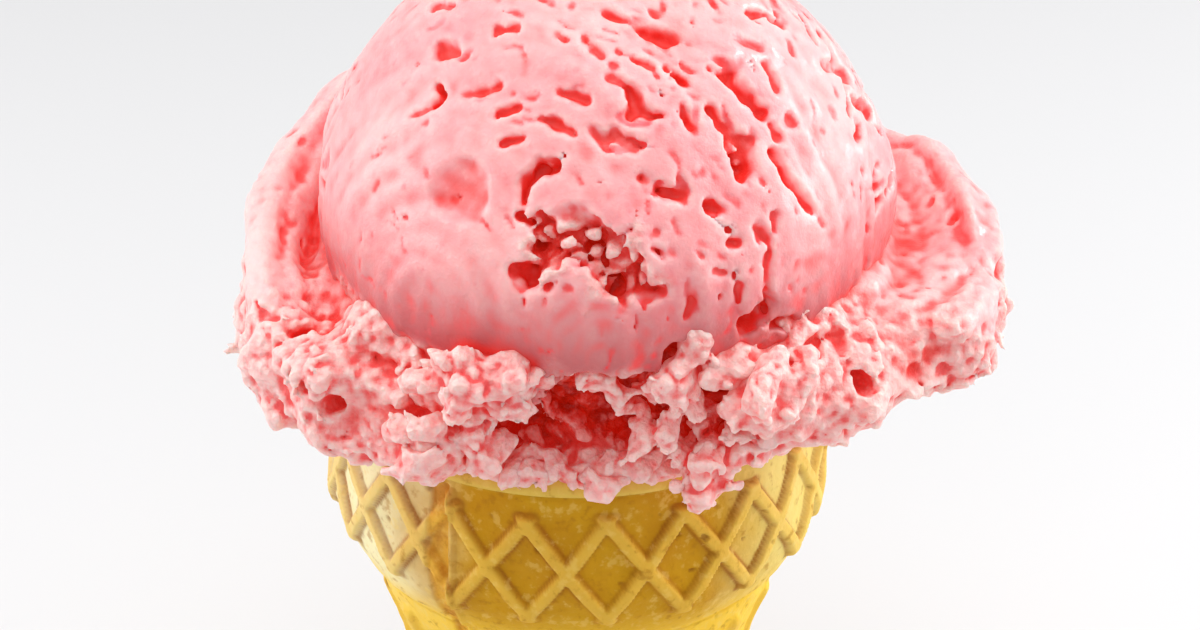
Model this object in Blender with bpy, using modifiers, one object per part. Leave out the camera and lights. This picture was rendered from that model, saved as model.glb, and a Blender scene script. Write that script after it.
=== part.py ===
# A scoop of pink ice cream on a flat-bottomed moulded wafer cone.
# Metres, +Z up. The cone stands on z = 0 with its axis on Z, and -Y is the front.
# Angles round the object start at the front and grow towards +X.

import math

import bmesh
import bpy
from mathutils import Vector, noise

MM = 0.001

# Wafer cone: its turned outside from the lip down to the foot, as radius and height in mm
OUTSIDE = (
    (25.0, 71.2),
    (25.3, 66.0),
    (25.4, 59.4),
    (24.9, 57.0),
    (24.0, 55.0),
    (23.1, 53.4),
    (22.1, 52.6),
    (21.3, 50.0),
    (20.3, 47.2),
    (19.3, 44.5),
    (18.3, 41.5),
    (17.6, 38.0),
    (16.1, 5.4),
    (16.7, 4.6),
    (16.7, 0.8),
)
BASE_RADIUS = 15.9 * MM
RIM_RADIUS = 23.9 * MM
RIM_HEIGHT = 72.0 * MM
LIP_HEIGHT = OUTSIDE[0][1] * MM
WALL = 2.0 * MM
CUP_FLOOR = 56.0 * MM
CUP_FLOOR_RADIUS = 20.4 * MM
CONE_STEPS = 44

# Raised trellis round the cup, vertical ribs round the stem, and the two mould seams
DIAMONDS = 20
TRELLIS_LOW = 57.1 * MM
TRELLIS_HIGH = 68.9 * MM
TRELLIS_TURN = math.radians(-2.2)
RIB_WIDTH = 2.2 * MM
RIB_RISE = 0.8 * MM
RIB_STEP = 0.07 * MM
RIB_POINTS = 4
RIB_REACH = 0.53
STEM_RIBS = 20
STEM_RIB_WIDTH = 1.3 * MM
STEM_RIB_RISE = 0.5 * MM
STEM_RIB_LOW = 6.5 * MM
STEM_RIB_HIGH = 49.5 * MM
SEAM_TURN = math.radians(-29.3)
SEAM_RISE = 0.5 * MM
SEAM_WIDTH = 0.6 * MM

# Scoop: a dome shaped by the scoop's bowl, on a torn frill squeezed out round its equator
SCOOP_X = 2.9 * MM
DOME_RADIUS = 28.5 * MM
DOME_HEIGHT = 90.6 * MM
FRILL_INNER = 18.0 * MM
FRILL_SEAT = 22.5 * MM
FRILL_STEPS = 96
# Where the frill goes: degrees round the scoop, then reach, top and lower edge in mm
FRILL_STATIONS = (
    (-180, 35.0, 92.0, 77.0),
    (-135, 36.9, 96.0, 78.0),
    (-112, 36.4, 92.6, 77.0),
    (-90, 37.4, 89.0, 76.0),
    (-73, 37.2, 87.0, 74.5),
    (-55, 35.5, 85.5, 75.5),
    (-28, 32.5, 84.5, 74.8),
    (0, 29.8, 84.0, 73.6),
    (25, 30.5, 84.5, 73.6),
    (45, 33.5, 86.0, 77.8),
    (62, 38.0, 87.5, 80.0),
    (78, 40.8, 88.5, 77.5),
    (95, 39.9, 90.8, 77.5),
    (115, 38.7, 90.2, 78.0),
    (145, 37.2, 90.3, 78.0),
)
FRILL_GROOVE = 3.4 * MM

# Hollows torn or cut into the scoop: degrees round it and distance from its axis, height,
# then half the width, depth and height of the hollow, all in mm
HOLLOWS = (
    (5, 28.8, 82.2, 9.5, 9.0, 5.0),
    (-15, 29.0, 79.5, 4.5, 6.0, 3.4),
    (29, 28.8, 89.8, 4.4, 4.0, 1.8),
    (-4, 27.2, 100.0, 5.0, 2.6, 4.8),
    (-13, 23.6, 107.2, 2.8, 2.2, 1.4),
    (-16, 28.0, 96.4, 1.7, 2.6, 1.6),
    (2, 27.8, 97.4, 2.6, 2.2, 1.9),
    (-52, 22.0, 109.2, 2.0, 2.8, 1.8),
    (31, 23.6, 107.2, 1.6, 3.0, 3.0),
    (41, 25.8, 103.4, 1.7, 2.0, 3.0),
    (37, 20.4, 110.9, 2.2, 2.0, 1.6),
    (20, 13.4, 116.2, 2.2, 1.8, 1.5),
    (-36, 26.4, 102.6, 3.4, 1.4, 3.0),
    (-62, 36.8, 79.5, 2.3, 2.6, 1.5),
    (70, 38.0, 86.6, 2.6, 2.4, 1.4),
    (165, 27.5, 104.0, 3.0, 2.6, 1.6),
    (-150, 25.0, 108.0, 2.0, 2.4, 2.4),
    (110, 26.5, 104.0, 2.2, 2.2, 2.6),
)

# Drips and shreds that hang from the frill: degrees and distance, top, tip and half width in mm
DRIPS = (
    (-22, 27.9, 77.0, 70.2, 1.9),
    (19.5, 27.8, 77.5, 67.6, 4.0),
    (-61, 35.0, 79.0, 73.6, 2.0),
    (76, 39.6, 82.0, 75.6, 2.4),
    (-4, 27.6, 76.0, 71.4, 1.6),
    (130, 34.5, 81.0, 74.6, 2.4),
    (-140, 33.5, 81.0, 75.0, 2.2),
    (4, 26.5, 87.0, 79.0, 1.7),
    (15, 27.5, 87.0, 78.5, 2.1),
)

# Relief torn into the ice cream
VOXEL = 1.15 * MM
CRAG = 1.5 * MM
CRAG_SIZE = 5.2 * MM
CRUMB = 0.9 * MM
CRUMB_SIZE = 2.6 * MM
DOME_CRAG = 0.35 * MM
PIT_DEPTH = 0.8 * MM
PIT_SIZE = 4.0 * MM
SCOOP_TRIANGLES = 5700
CLEARANCE = 0.35 * MM

WAFER_COLOUR = (0.78, 0.50, 0.14, 1.0)
ICE_CREAM_COLOUR = (0.93, 0.45, 0.47, 1.0)


def clear_scene():
    for obj in list(bpy.data.objects):
        bpy.data.objects.remove(obj, do_unlink=True)


def collection(name):
    made = bpy.data.collections.new(name)
    bpy.context.scene.collection.children.link(made)
    return made


def material(name, colour, roughness):
    made = bpy.data.materials.new(name)
    made.use_nodes = True
    shader = made.node_tree.nodes["Principled BSDF"]
    shader.inputs["Base Color"].default_value = colour
    shader.inputs["Roughness"].default_value = roughness
    shader.inputs["Metallic"].default_value = 0.0
    return made


def mesh_object(name, mesh, home):
    obj = bpy.data.objects.new(name, mesh)
    home.objects.link(obj)
    return obj


def baked(obj):
    """Replaces the object by a plain mesh of what its modifiers or its curve make."""
    bpy.context.view_layer.update()
    graph = bpy.context.evaluated_depsgraph_get()
    mesh = bpy.data.meshes.new_from_object(obj.evaluated_get(graph), depsgraph=graph)
    mesh.transform(obj.matrix_world)
    welded = bmesh.new()
    welded.from_mesh(mesh)
    bmesh.ops.remove_doubles(welded, verts=welded.verts, dist=0.001 * MM)
    welded.to_mesh(mesh)
    welded.free()
    name, home = obj.name, obj.users_collection[0]
    bpy.data.objects.remove(obj, do_unlink=True)
    return mesh_object(name, mesh, home)


def on_cone(radius, turn, height):
    return Vector((radius * math.sin(turn), -radius * math.cos(turn), height))


def turned(name, profile, home, steps=CONE_STEPS):
    """A solid turned round Z from (radius, height) points that run from its top to its bottom."""
    mesh = bpy.data.meshes.new(name)
    points = [(radius, 0.0, height) for radius, height in profile]
    mesh.from_pydata(points, [(i, i + 1) for i in range(len(points) - 1)], [])
    obj = mesh_object(name, mesh, home)
    screw = obj.modifiers.new("turn", "SCREW")
    screw.steps = steps
    screw.render_steps = steps
    screw.use_merge_vertices = True
    screw.merge_threshold = 0.01 * MM
    return baked(obj)


def outer_profile():
    """The wafer's outside, from the middle of its closed top down to the middle of its base."""
    side = [(radius * MM, height * MM) for radius, height in OUTSIDE]
    return [(0.0, RIM_HEIGHT), (RIM_RADIUS, RIM_HEIGHT), *side, (BASE_RADIUS, 0.0), (0.0, 0.0)]


def wall_radius(height):
    """The outside's radius at a height, straight between the points of its profile."""
    for (high_r, high_z), (low_r, low_z) in zip(OUTSIDE, OUTSIDE[1:]):
        if low_z * MM <= height <= high_z * MM:
            share = (height / MM - low_z) / (high_z - low_z)
            return (low_r + share * (high_r - low_r)) * MM
    raise ValueError("no wall at this height")


def recess_profile(grow=0.0):
    """The hollow of the cup, cut from above. Grow makes it smaller, for what fills it."""
    above = RIM_HEIGHT + 10.0 * MM
    mouth = RIM_RADIUS - WALL - grow
    return [
        (0.0, above),
        (mouth, above),
        (mouth, RIM_HEIGHT - 1.0 * MM),
        (mouth + 0.6 * MM, CUP_FLOOR + 6.0 * MM),
        (CUP_FLOOR_RADIUS - grow, CUP_FLOOR + 1.5 * MM + grow),
        (CUP_FLOOR_RADIUS - 1.5 * MM - grow, CUP_FLOOR + grow),
        (0.0, CUP_FLOOR + grow),
    ]


def rib(name, points, width, home):
    """A half-sunk round rib along the given points."""
    curve = bpy.data.curves.new(name, "CURVE")
    curve.dimensions = "3D"
    curve.bevel_depth = width / 2
    curve.bevel_resolution = 0
    curve.use_fill_caps = True
    spline = curve.splines.new("POLY")
    spline.points.add(len(points) - 1)
    for place, point in zip(spline.points, points):
        place.co = (*point, 1.0)
    obj = bpy.data.objects.new(name, curve)
    home.objects.link(obj)
    return baked(obj)


def rib_on_wall(name, turns, low, high, width, rise, home):
    """A rib along the outside, between two heights, that starts and ends at the given turns."""
    points = []
    for i in range(RIB_POINTS):
        share = i / (RIB_POINTS - 1)
        height = low + share * (high - low)
        turn = turns[0] + share * (turns[1] - turns[0])
        points.append(on_cone(wall_radius(height) + rise - width / 2, turn, height))
    rib(name, points, width, home)


def trellis(home):
    """Crossing ribs: each climbs the cup's wall while it turns by one diamond, left or right."""
    pitch = 2 * math.pi / DIAMONDS
    for k in range(DIAMONDS):
        for lean in (-1, 1):
            middle = TRELLIS_TURN + k * pitch
            turns = (middle - lean * RIB_REACH * pitch, middle + lean * RIB_REACH * pitch)
            rise = RIB_RISE - max(0, lean) * RIB_STEP
            rib_on_wall(f"trellis_{k}_{lean + 1}", turns, TRELLIS_LOW, TRELLIS_HIGH, RIB_WIDTH, rise, home)


def stem_ribs(home):
    for k in range(STEM_RIBS):
        turn = TRELLIS_TURN + k * 2 * math.pi / STEM_RIBS
        rib_on_wall(
            f"stem_{k}", (turn, turn), STEM_RIB_LOW, STEM_RIB_HIGH, STEM_RIB_WIDTH, STEM_RIB_RISE, home
        )


def seam_plate(home):
    """A thin plate in the plane of the mould's joint. Its edge stands out as the two seams."""
    half = [(radius * MM + SEAM_RISE, height * MM) for radius, height in OUTSIDE[:13]]
    outline = half + [(-r, z) for r, z in reversed(half)]
    curve = bpy.data.curves.new("seam_plate", "CURVE")
    curve.dimensions = "2D"
    curve.fill_mode = "BOTH"
    curve.extrude = SEAM_WIDTH / 2
    spline = curve.splines.new("POLY")
    spline.points.add(len(outline) - 1)
    for place, (across, up) in zip(spline.points, outline):
        place.co = (across, up, 0.0, 1.0)
    spline.use_cyclic_u = True
    obj = bpy.data.objects.new("seam_plate", curve)
    obj.rotation_euler = (math.pi / 2, 0.0, SEAM_TURN - math.pi / 2)
    home.objects.link(obj)
    return baked(obj)


def combined(obj, others, operation):
    """The object joined with, or cut by, all that a collection holds. The collection is used up."""
    boolean = obj.modifiers.new("combine", "BOOLEAN")
    boolean.operation = operation
    boolean.operand_type = "COLLECTION"
    boolean.collection = others
    boolean.solver = "EXACT"
    made = baked(obj)
    for other in list(others.objects):
        bpy.data.objects.remove(other, do_unlink=True)
    return made


def cut(obj, cutter):
    difference = obj.modifiers.new("cut", "BOOLEAN")
    difference.operation = "DIFFERENCE"
    difference.object = cutter
    difference.solver = "EXACT"
    cutter.hide_render = True
    cutter.display_type = "WIRE"
    return baked(obj)


def wafer_cone(home, cutters):
    body = turned("wafer_cone", outer_profile(), home)
    relief = collection("wafer_relief")
    trellis(relief)
    stem_ribs(relief)
    seam_plate(relief)
    body = combined(body, relief, "UNION")
    body = cut(body, turned("cup_recess", recess_profile(), cutters))
    body.data.materials.append(material("wafer", WAFER_COLOUR, 0.75))
    return body


def frill_at(turn):
    """Reach, top and lower edge of the frill at an angle, eased between its stations."""
    degrees = math.degrees(turn)
    stations = FRILL_STATIONS + ((FRILL_STATIONS[0][0] + 360, *FRILL_STATIONS[0][1:]),)
    while degrees < stations[0][0]:
        degrees += 360
    while degrees >= stations[-1][0]:
        degrees -= 360
    for low, high in zip(stations, stations[1:]):
        if low[0] <= degrees < high[0]:
            share = (degrees - low[0]) / (high[0] - low[0])
            share = share * share * (3 - 2 * share)
            return [(a + share * (b - a)) * MM for a, b in zip(low[1:], high[1:])]
    raise ValueError("no station at this angle")


def frill_section(turn):
    """The frill's closed outline at an angle, as (distance from the scoop's axis, height)."""
    reach, top, foot = frill_at(turn)
    return [
        (FRILL_INNER, RIM_HEIGHT - 1.0 * MM),
        (FRILL_SEAT, RIM_HEIGHT + CLEARANCE),
        (0.5 * (FRILL_SEAT + reach), 0.6 * RIM_HEIGHT + 0.4 * foot),
        (reach - 3.0 * MM, foot),
        (reach - 0.8 * MM, foot + 2.5 * MM),
        (reach, 0.5 * (foot + top)),
        (reach - 0.6 * MM, top - 2.2 * MM),
        (reach - 2.6 * MM, top),
        (reach - 5.5 * MM, top - FRILL_GROOVE),
        (DOME_RADIUS + 0.5 * MM, top - 2.0 * MM),
        (DOME_RADIUS - 3.0 * MM, top - 1.0 * MM),
        (FRILL_INNER, top - 8.0 * MM),
    ]


def frill(home):
    """A ring lofted through its changing section, all the way round the scoop's axis."""
    shape = bmesh.new()
    rings = []
    for k in range(FRILL_STEPS):
        turn = 2 * math.pi * k / FRILL_STEPS - math.pi
        offset = Vector((SCOOP_X, 0.0, 0.0))
        rings.append([shape.verts.new(on_cone(r, turn, z) + offset) for r, z in frill_section(turn)])
    count = len(rings[0])
    for k in range(FRILL_STEPS):
        near, far = rings[k], rings[(k + 1) % FRILL_STEPS]
        for i in range(count):
            j = (i + 1) % count
            shape.faces.new((near[i], far[i], far[j], near[j]))
    bmesh.ops.recalc_face_normals(shape, faces=shape.faces)
    mesh = bpy.data.meshes.new("frill")
    shape.to_mesh(mesh)
    shape.free()
    return mesh_object("frill", mesh, home)


def on_scoop(degrees, distance, height):
    return on_cone(distance, math.radians(degrees), height) + Vector((SCOOP_X, 0.0, 0.0))


def hollows(home):
    for k, (degrees, distance, height, across, deep, tall) in enumerate(HOLLOWS):
        place = on_scoop(degrees, distance * MM, height * MM)
        bpy.ops.mesh.primitive_uv_sphere_add(segments=20, ring_count=12, radius=1.0, location=place)
        adopt(f"hollow_{k}", home, scale=(across * MM, deep * MM, tall * MM), turn=math.radians(degrees))


def drips(home):
    for k, (degrees, distance, top, tip, half) in enumerate(DRIPS):
        place = on_scoop(degrees, distance * MM, 0.5 * (top + tip) * MM)
        bpy.ops.mesh.primitive_cone_add(
            vertices=12, radius1=0.25 * MM, radius2=half * MM, depth=(top - tip) * MM, location=place
        )
        adopt(f"drip_{k}", home)


def adopt(name, home, scale=(1.0, 1.0, 1.0), turn=0.0):
    """Moves the primitive just added to a collection, scaled and turned, as a plain mesh."""
    obj = bpy.context.active_object
    obj.name = name
    obj.scale = scale
    obj.rotation_euler = (0.0, 0.0, turn)
    for owner in list(obj.users_collection):
        owner.objects.unlink(obj)
    home.objects.link(obj)
    return baked(obj)


def dome(home):
    bpy.ops.mesh.primitive_uv_sphere_add(
        segments=72, ring_count=44, radius=DOME_RADIUS, location=(SCOOP_X, 0.0, DOME_HEIGHT)
    )
    return adopt("dome", home)


def roughness_at(point):
    """0 on the scooped dome, 1 on the torn frill below its equator or beyond its side."""
    low = (DOME_HEIGHT - 2.0 * MM - point.z) / (3.0 * MM)
    beyond = (math.hypot(point.x - SCOOP_X, point.y) - DOME_RADIUS) / (2.0 * MM)
    return min(1.0, max(0.0, low, beyond))


def relief_at(point):
    """How far the surface moves out at a point: crags and crumbs when torn, pits when smooth."""
    rough = roughness_at(point)
    crag = noise.noise(point / CRAG_SIZE) * 2.0
    nearest = noise.voronoi(point / CRUMB_SIZE)[0][0]
    crumb = 0.55 - nearest
    streaked = Vector((point.x + 0.8 * point.z, point.y, 2.4 * (point.z - 0.6 * point.x)))
    pit = max(0.0, noise.noise(streaked / PIT_SIZE) - 0.22) * 2.4
    smooth = DOME_CRAG * crag - PIT_DEPTH * pit
    torn = CRAG * crag + CRUMB * crumb
    return smooth + rough * (torn - smooth)


def ice_cream(home, cutters):
    forms = collection("scoop_forms")
    body = dome(home)
    frill(forms)
    turned("plug", plug_profile(), forms)
    drips(forms)
    body = combined(body, forms, "UNION")
    torn = collection("scoop_hollows")
    hollows(torn)
    body = combined(body, torn, "DIFFERENCE")
    body.name = "ice_cream"
    remesh = body.modifiers.new("even", "REMESH")
    remesh.mode = "VOXEL"
    remesh.voxel_size = VOXEL
    body = baked(body)
    mesh = body.data
    mesh.update()
    places = [(v.co.copy(), v.normal.copy()) for v in mesh.vertices]
    for vertex, (place, normal) in zip(mesh.vertices, places):
        vertex.co = place + normal * relief_at(place)
    mesh.update()
    thin = body.modifiers.new("thin", "DECIMATE")
    thin.ratio = SCOOP_TRIANGLES / (2 * len(mesh.polygons))
    body = baked(body)
    body = cut(body, wall_clearance(cutters))
    body.data.materials.append(material("ice_cream", ICE_CREAM_COLOUR, 0.45))
    return body


def plug_profile():
    """The ice cream pressed down into the cup, up into the dome."""
    inside = recess_profile(CLEARANCE)
    return [(0.0, DOME_HEIGHT), (FRILL_INNER, DOME_HEIGHT), (FRILL_INNER, RIM_HEIGHT + 1.0 * MM)] + inside[2:]


def wall_clearance(cutters):
    """The room that the wafer takes, and the gap round it: a ring cut from the ice cream."""
    grow = CLEARANCE + RIB_RISE + 0.4 * MM
    inner = recess_profile(CLEARANCE)
    outer = [
        (RIM_RADIUS - WALL - CLEARANCE, RIM_HEIGHT + CLEARANCE),
        (RIM_RADIUS + CLEARANCE, RIM_HEIGHT + CLEARANCE),
        (wall_radius(LIP_HEIGHT) + CLEARANCE, LIP_HEIGHT + CLEARANCE),
        (wall_radius(LIP_HEIGHT) + grow, LIP_HEIGHT - 1.5 * MM),
        (wall_radius(LIP_HEIGHT) + grow, CUP_FLOOR - 4.0 * MM),
        (0.0, CUP_FLOOR - 4.0 * MM),
        (0.0, CUP_FLOOR + CLEARANCE),
    ]
    ring = outer + list(reversed(inner[3:-1]))
    return ring_solid("wall_room", ring, cutters)


def ring_solid(name, outline, home):
    """A closed outline turned round Z. It starts and ends at the same rim point."""
    mesh = bpy.data.meshes.new(name)
    points = [(r, 0.0, z) for r, z in outline]
    edges = [(i, (i + 1) % len(points)) for i in range(len(points))]
    mesh.from_pydata(points, edges, [])
    obj = mesh_object(name, mesh, home)
    screw = obj.modifiers.new("turn", "SCREW")
    screw.steps = CONE_STEPS
    screw.render_steps = CONE_STEPS
    screw.use_merge_vertices = True
    screw.merge_threshold = 0.01 * MM
    obj = baked(obj)
    shape = bmesh.new()
    shape.from_mesh(obj.data)
    bmesh.ops.recalc_face_normals(shape, faces=shape.faces)
    shape.to_mesh(obj.data)
    shape.free()
    return obj


def build():
    clear_scene()
    home = collection("ice_cream_cone")
    cutters = collection("cutters")
    cutters.hide_render = True
    wafer_cone(home, cutters)
    ice_cream(home, cutters)


build()
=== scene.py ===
# A scoop of torn strawberry ice cream on a moulded wafer cone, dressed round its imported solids.
import math

import bpy
import numpy as np
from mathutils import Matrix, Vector


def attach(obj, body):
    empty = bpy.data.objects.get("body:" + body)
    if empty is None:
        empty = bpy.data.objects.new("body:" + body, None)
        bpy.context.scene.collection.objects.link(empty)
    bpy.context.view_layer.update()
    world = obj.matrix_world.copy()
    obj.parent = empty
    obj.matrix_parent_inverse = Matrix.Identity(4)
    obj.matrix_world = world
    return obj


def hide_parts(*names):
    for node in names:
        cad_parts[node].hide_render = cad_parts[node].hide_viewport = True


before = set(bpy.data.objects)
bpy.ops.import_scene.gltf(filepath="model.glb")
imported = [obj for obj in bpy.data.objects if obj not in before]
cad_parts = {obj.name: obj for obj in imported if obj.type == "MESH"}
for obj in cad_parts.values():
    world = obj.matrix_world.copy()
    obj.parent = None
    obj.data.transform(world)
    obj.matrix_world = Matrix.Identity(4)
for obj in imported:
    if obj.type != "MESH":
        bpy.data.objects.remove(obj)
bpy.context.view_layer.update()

mm = 0.001
wellOut = 9.0  # stands in a field for anywhere well outside, in mm
coarseStep = 4  # points of a fine grid along each side of a coarse cell
batch = 12000  # coarse cells worked on at a time
trianglesMost = 194000  # in one piece


def ease(low, high, value):
    # smooth step: 0 below low, 1 above high, 3t^2 - 2t^3 between
    t = np.clip((value - low) / (high - low), 0.0, 1.0)
    return t * t * (3.0 - 2.0 * t)


def splineRows(cells, factor):
    # matrix that carries a periodic row of coarse values to a finer row, by cubic B-spline weights
    place = np.arange(cells * factor) / factor
    whole = np.floor(place).astype(int)
    t = place - whole
    weights = (
        (1 - t) ** 3 / 6,
        (3 * t ** 3 - 6 * t ** 2 + 4) / 6,
        (-3 * t ** 3 + 3 * t ** 2 + 3 * t + 1) / 6,
        t ** 3 / 6,
    )
    rows = np.zeros((cells * factor, cells), np.float32)
    for offset, weight in zip((-1, 0, 1, 2), weights):
        np.add.at(rows, (np.arange(cells * factor), (whole + offset) % cells), weight)
    return rows


def softBlock(seed, cells=22, factor=4):
    # white noise on a periodic lattice, less its own local mean, spline-smoothed, scaled to spread 1
    coarse = np.random.default_rng(seed).standard_normal((cells,) * 3).astype(np.float32)
    mean = coarse.copy()
    for axis in range(3):
        mean = (mean + np.roll(mean, 1, axis) + np.roll(mean, -1, axis)) / 3
    fine = coarse - mean
    rows = splineRows(cells, factor)
    for axis in range(3):
        fine = np.moveaxis(np.tensordot(rows, fine, axes=(1, axis)), 0, axis)
    return np.ascontiguousarray(fine / fine.std(), np.float32), factor


def crumbBlock(seed, cells=12, factor=8):
    # one random point in each cell of a periodic lattice: how much nearer the first is than the second
    rng = np.random.default_rng(seed)
    jitter = rng.random((cells, cells, cells, 3)).astype(np.float32) * 0.9 + 0.05
    size = cells * factor
    axis = (np.arange(size) + 0.5) / factor
    home = np.floor(axis).astype(int)
    x, y, z = np.meshgrid(axis, axis, axis, indexing="ij", sparse=True)
    hx, hy, hz = np.meshgrid(home, home, home, indexing="ij", sparse=True)
    first = np.full((size,) * 3, wellOut, np.float32)
    second = first.copy()
    for i in (-1, 0, 1):
        for j in (-1, 0, 1):
            for k in (-1, 0, 1):
                spot = jitter[(hx + i) % cells, (hy + j) % cells, (hz + k) % cells]
                away = np.sqrt(
                    (hx + i + spot[..., 0] - x) ** 2
                    + (hy + j + spot[..., 1] - y) ** 2
                    + (hz + k + spot[..., 2] - z) ** 2
                ).astype(np.float32)
                second = np.minimum(second, np.maximum(first, away))
                first = np.minimum(first, away)
    return np.ascontiguousarray(second - first), factor


def lookUp(block, points, size, shift=0.0):
    # block value at points in mm, its cells being size mm wide: linear between its eight neighbours
    values, factor = block
    n = values.shape[0]
    place = points * np.float32(factor / size) + np.float32(shift * factor)
    whole = np.floor(place)
    t = (place - whole).astype(np.float32)
    low = whole.astype(np.int32) % n
    high = (low + 1) % n
    flat = values.ravel()
    xs = (low[:, 0] * (n * n), high[:, 0] * (n * n))
    ys = (low[:, 1] * n, high[:, 1] * n)
    zs = (low[:, 2], high[:, 2])
    total = 0.0
    for i in (0, 1):
        wx = t[:, 0] if i else 1 - t[:, 0]
        for j in (0, 1):
            wxy = wx * (t[:, 1] if j else 1 - t[:, 1])
            row = xs[i] + ys[j]
            total = total + wxy * (flat[row + zs[0]] * (1 - t[:, 2]) + flat[row + zs[1]] * t[:, 2])
    return total


print("noise")
soft = softBlock(3)
crumb = crumbBlock(8)


def stretched(points, along, ratio):
    # points with their extent along a direction divided by ratio, so that a pattern is drawn out there
    along = np.array(along, np.float32)
    along = along / np.linalg.norm(along)
    return points - np.outer(points @ along, along) * np.float32(1 - 1 / ratio)


def onScoop(degrees, distance, height):
    # a place from degrees round the scoop, mm from its axis and mm of height
    turn = np.radians(degrees)
    return np.stack(np.broadcast_arrays(
        scoop["centreX"] + distance * np.sin(turn), -distance * np.cos(turn), height), -1).astype(np.float32)


def blendMin(a, b, soften):
    # the lower of two distances, rounded off where they come within soften of each other
    h = np.clip(0.5 + 0.5 * (b - a) / soften, 0, 1)
    return b + (a - b) * h - soften * h * (1 - h)


def blendMax(a, b, soften):
    # the higher of two distances, rounded off in the same way
    return -blendMin(-a, -b, soften)


def axisRows(stops):
    # places along one axis, their spacing running between the spacings given at the stops
    marks, steps = zip(*stops)
    rows = [marks[0]]
    while rows[-1] < marks[-1]:
        rows.append(rows[-1] + np.interp(rows[-1], marks, steps))
    while len(rows) % coarseStep:
        rows.append(rows[-1] + steps[-1])
    return np.array(rows, np.float32)


def pointsOf(axes):
    # every point of a grid, one to a row
    return np.stack(np.meshgrid(*axes, indexing="ij"), -1).reshape(-1, 3)


def fieldVolume(field, axes, band, soften):
    # field sampled on a grid, in full only within band of its coarse zero, and by sign elsewhere
    middles = [rows.reshape(-1, coarseStep).mean(1) for rows in axes]
    reach = math.sqrt(sum((np.diff(rows).max() * 2) ** 2 for rows in axes))
    coarse = field(pointsOf(middles), False).reshape([len(rows) for rows in middles])
    volume = np.sign(coarse).astype(np.float32) * wellOut
    for axis in range(3):
        volume = np.repeat(volume, coarseStep, axis)
    cells = np.argwhere(np.abs(coarse) < band + reach)
    local = pointsOf([np.arange(coarseStep)] * 3)[None]
    for part in np.array_split(cells, len(cells) // batch + 1):
        i, j, k = (part[:, None, :] * coarseStep + local).reshape(-1, 3).T
        volume[i, j, k] = field(np.stack([axes[0][i], axes[1][j], axes[2][k]], 1), True)
    for axis in range(3):  # takes out what the grid is too coarse for
        sides = np.roll(volume, 1, axis) + np.roll(volume, -1, axis)
        volume = volume * (1 - soften) + soften / 2 * sides
    for axis in range(3):
        edge = [slice(None)] * 3
        for end in (0, -1):
            edge[axis] = end
            volume[tuple(edge)] = wellOut
    return volume


def skinOf(volume, axes):
    # one vertex in each grid cell that the zero level crosses, at the mean of its crossings,
    # and one quad for each grid edge that the level crosses
    inside = volume < 0
    nx, ny, nz = volume.shape
    tally = np.zeros((nx - 1, ny - 1, nz - 1), np.int8)
    corners = [(i, j, k) for i in (0, 1) for j in (0, 1) for k in (0, 1)]
    for i, j, k in corners:
        tally += inside[i:nx - 1 + i, j:ny - 1 + j, k:nz - 1 + k]
    cells = np.argwhere((tally > 0) & (tally < 8))
    number = np.full(tally.shape, -1, np.int32)
    number[tuple(cells.T)] = np.arange(len(cells))
    value = {c: volume[cells[:, 0] + c[0], cells[:, 1] + c[1], cells[:, 2] + c[2]] for c in corners}
    total = np.zeros((len(cells), 3), np.float32)
    count = np.zeros(len(cells), np.float32)
    for a in corners:
        for axis in range(3):
            if a[axis]:
                continue
            b = tuple(1 if n == axis else c for n, c in enumerate(a))
            va, vb = value[a], value[b]
            cross = (va < 0) != (vb < 0)
            t = np.where(cross, va / np.where(cross, va - vb, 1), 0)
            total += cross[:, None] * (np.array(a) + t[:, None] * (np.array(b) - np.array(a)))
            count += cross
    place = cells + total / count[:, None]
    columns = [np.interp(place[:, a], np.arange(len(axes[a])), axes[a]) for a in range(3)]
    places = np.stack(columns, 1)
    quads = []
    for axis in range(3):
        first, second = [(1, 2), (2, 0), (0, 1)][axis]
        lead = [slice(None)] * 3
        trail = [slice(None)] * 3
        lead[axis], trail[axis] = slice(1, None), slice(None, -1)
        spots = np.argwhere(inside[tuple(lead)] != inside[tuple(trail)])
        backA, backB = np.eye(3, dtype=int)[[first, second]]
        around = [spots - backA - backB, spots - backB, spots, spots - backA]
        quad = np.stack([number[tuple(c.T)] for c in around], 1)
        leaving = inside[tuple(spots.T)]
        quad[~leaving] = quad[~leaving][:, ::-1]
        quads.append(quad)
    return places.astype(np.float32), np.concatenate(quads)


def mainBody(places, quads, smallest):
    # keeps each joined surface with more than a share, smallest, of the points of the largest: a point
    # takes the lowest number among its neighbours, again and again, until every surface holds one number
    label = np.arange(len(places))
    edges = np.concatenate([quads[:, (0, 1)], quads[:, (1, 2)], quads[:, (2, 3)]])
    while True:
        lowest = np.minimum(label[edges[:, 0]], label[edges[:, 1]])
        new = label.copy()
        np.minimum.at(new, edges[:, 0], lowest)
        np.minimum.at(new, edges[:, 1], lowest)
        new = new[new]
        if (new == label).all():
            break
        label = new
    _, owner, sizes = np.unique(label, return_inverse=True, return_counts=True)
    keep = (sizes > sizes.max() * smallest)[owner]
    renumber = np.cumsum(keep) - 1
    return places[keep], renumber[quads[keep[quads[:, 0]]]]


def relaxed(places, quads, rounds):
    # each point moves to the mean of its neighbours and then most of the way back out, so ripples go
    edges = np.concatenate([quads[:, (0, 1)], quads[:, (1, 2)], quads[:, (2, 3)], quads[:, (3, 0)]])
    ends = np.concatenate([edges, edges[:, ::-1]])
    count = np.bincount(ends[:, 0], minlength=len(places))[:, None]
    for share in (0.5, -0.52) * rounds:
        sums = [np.bincount(ends[:, 0], places[ends[:, 1], a], len(places)) for a in range(3)]
        places = places + share * (np.stack(sums, 1) / count - places)
    return places


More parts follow.
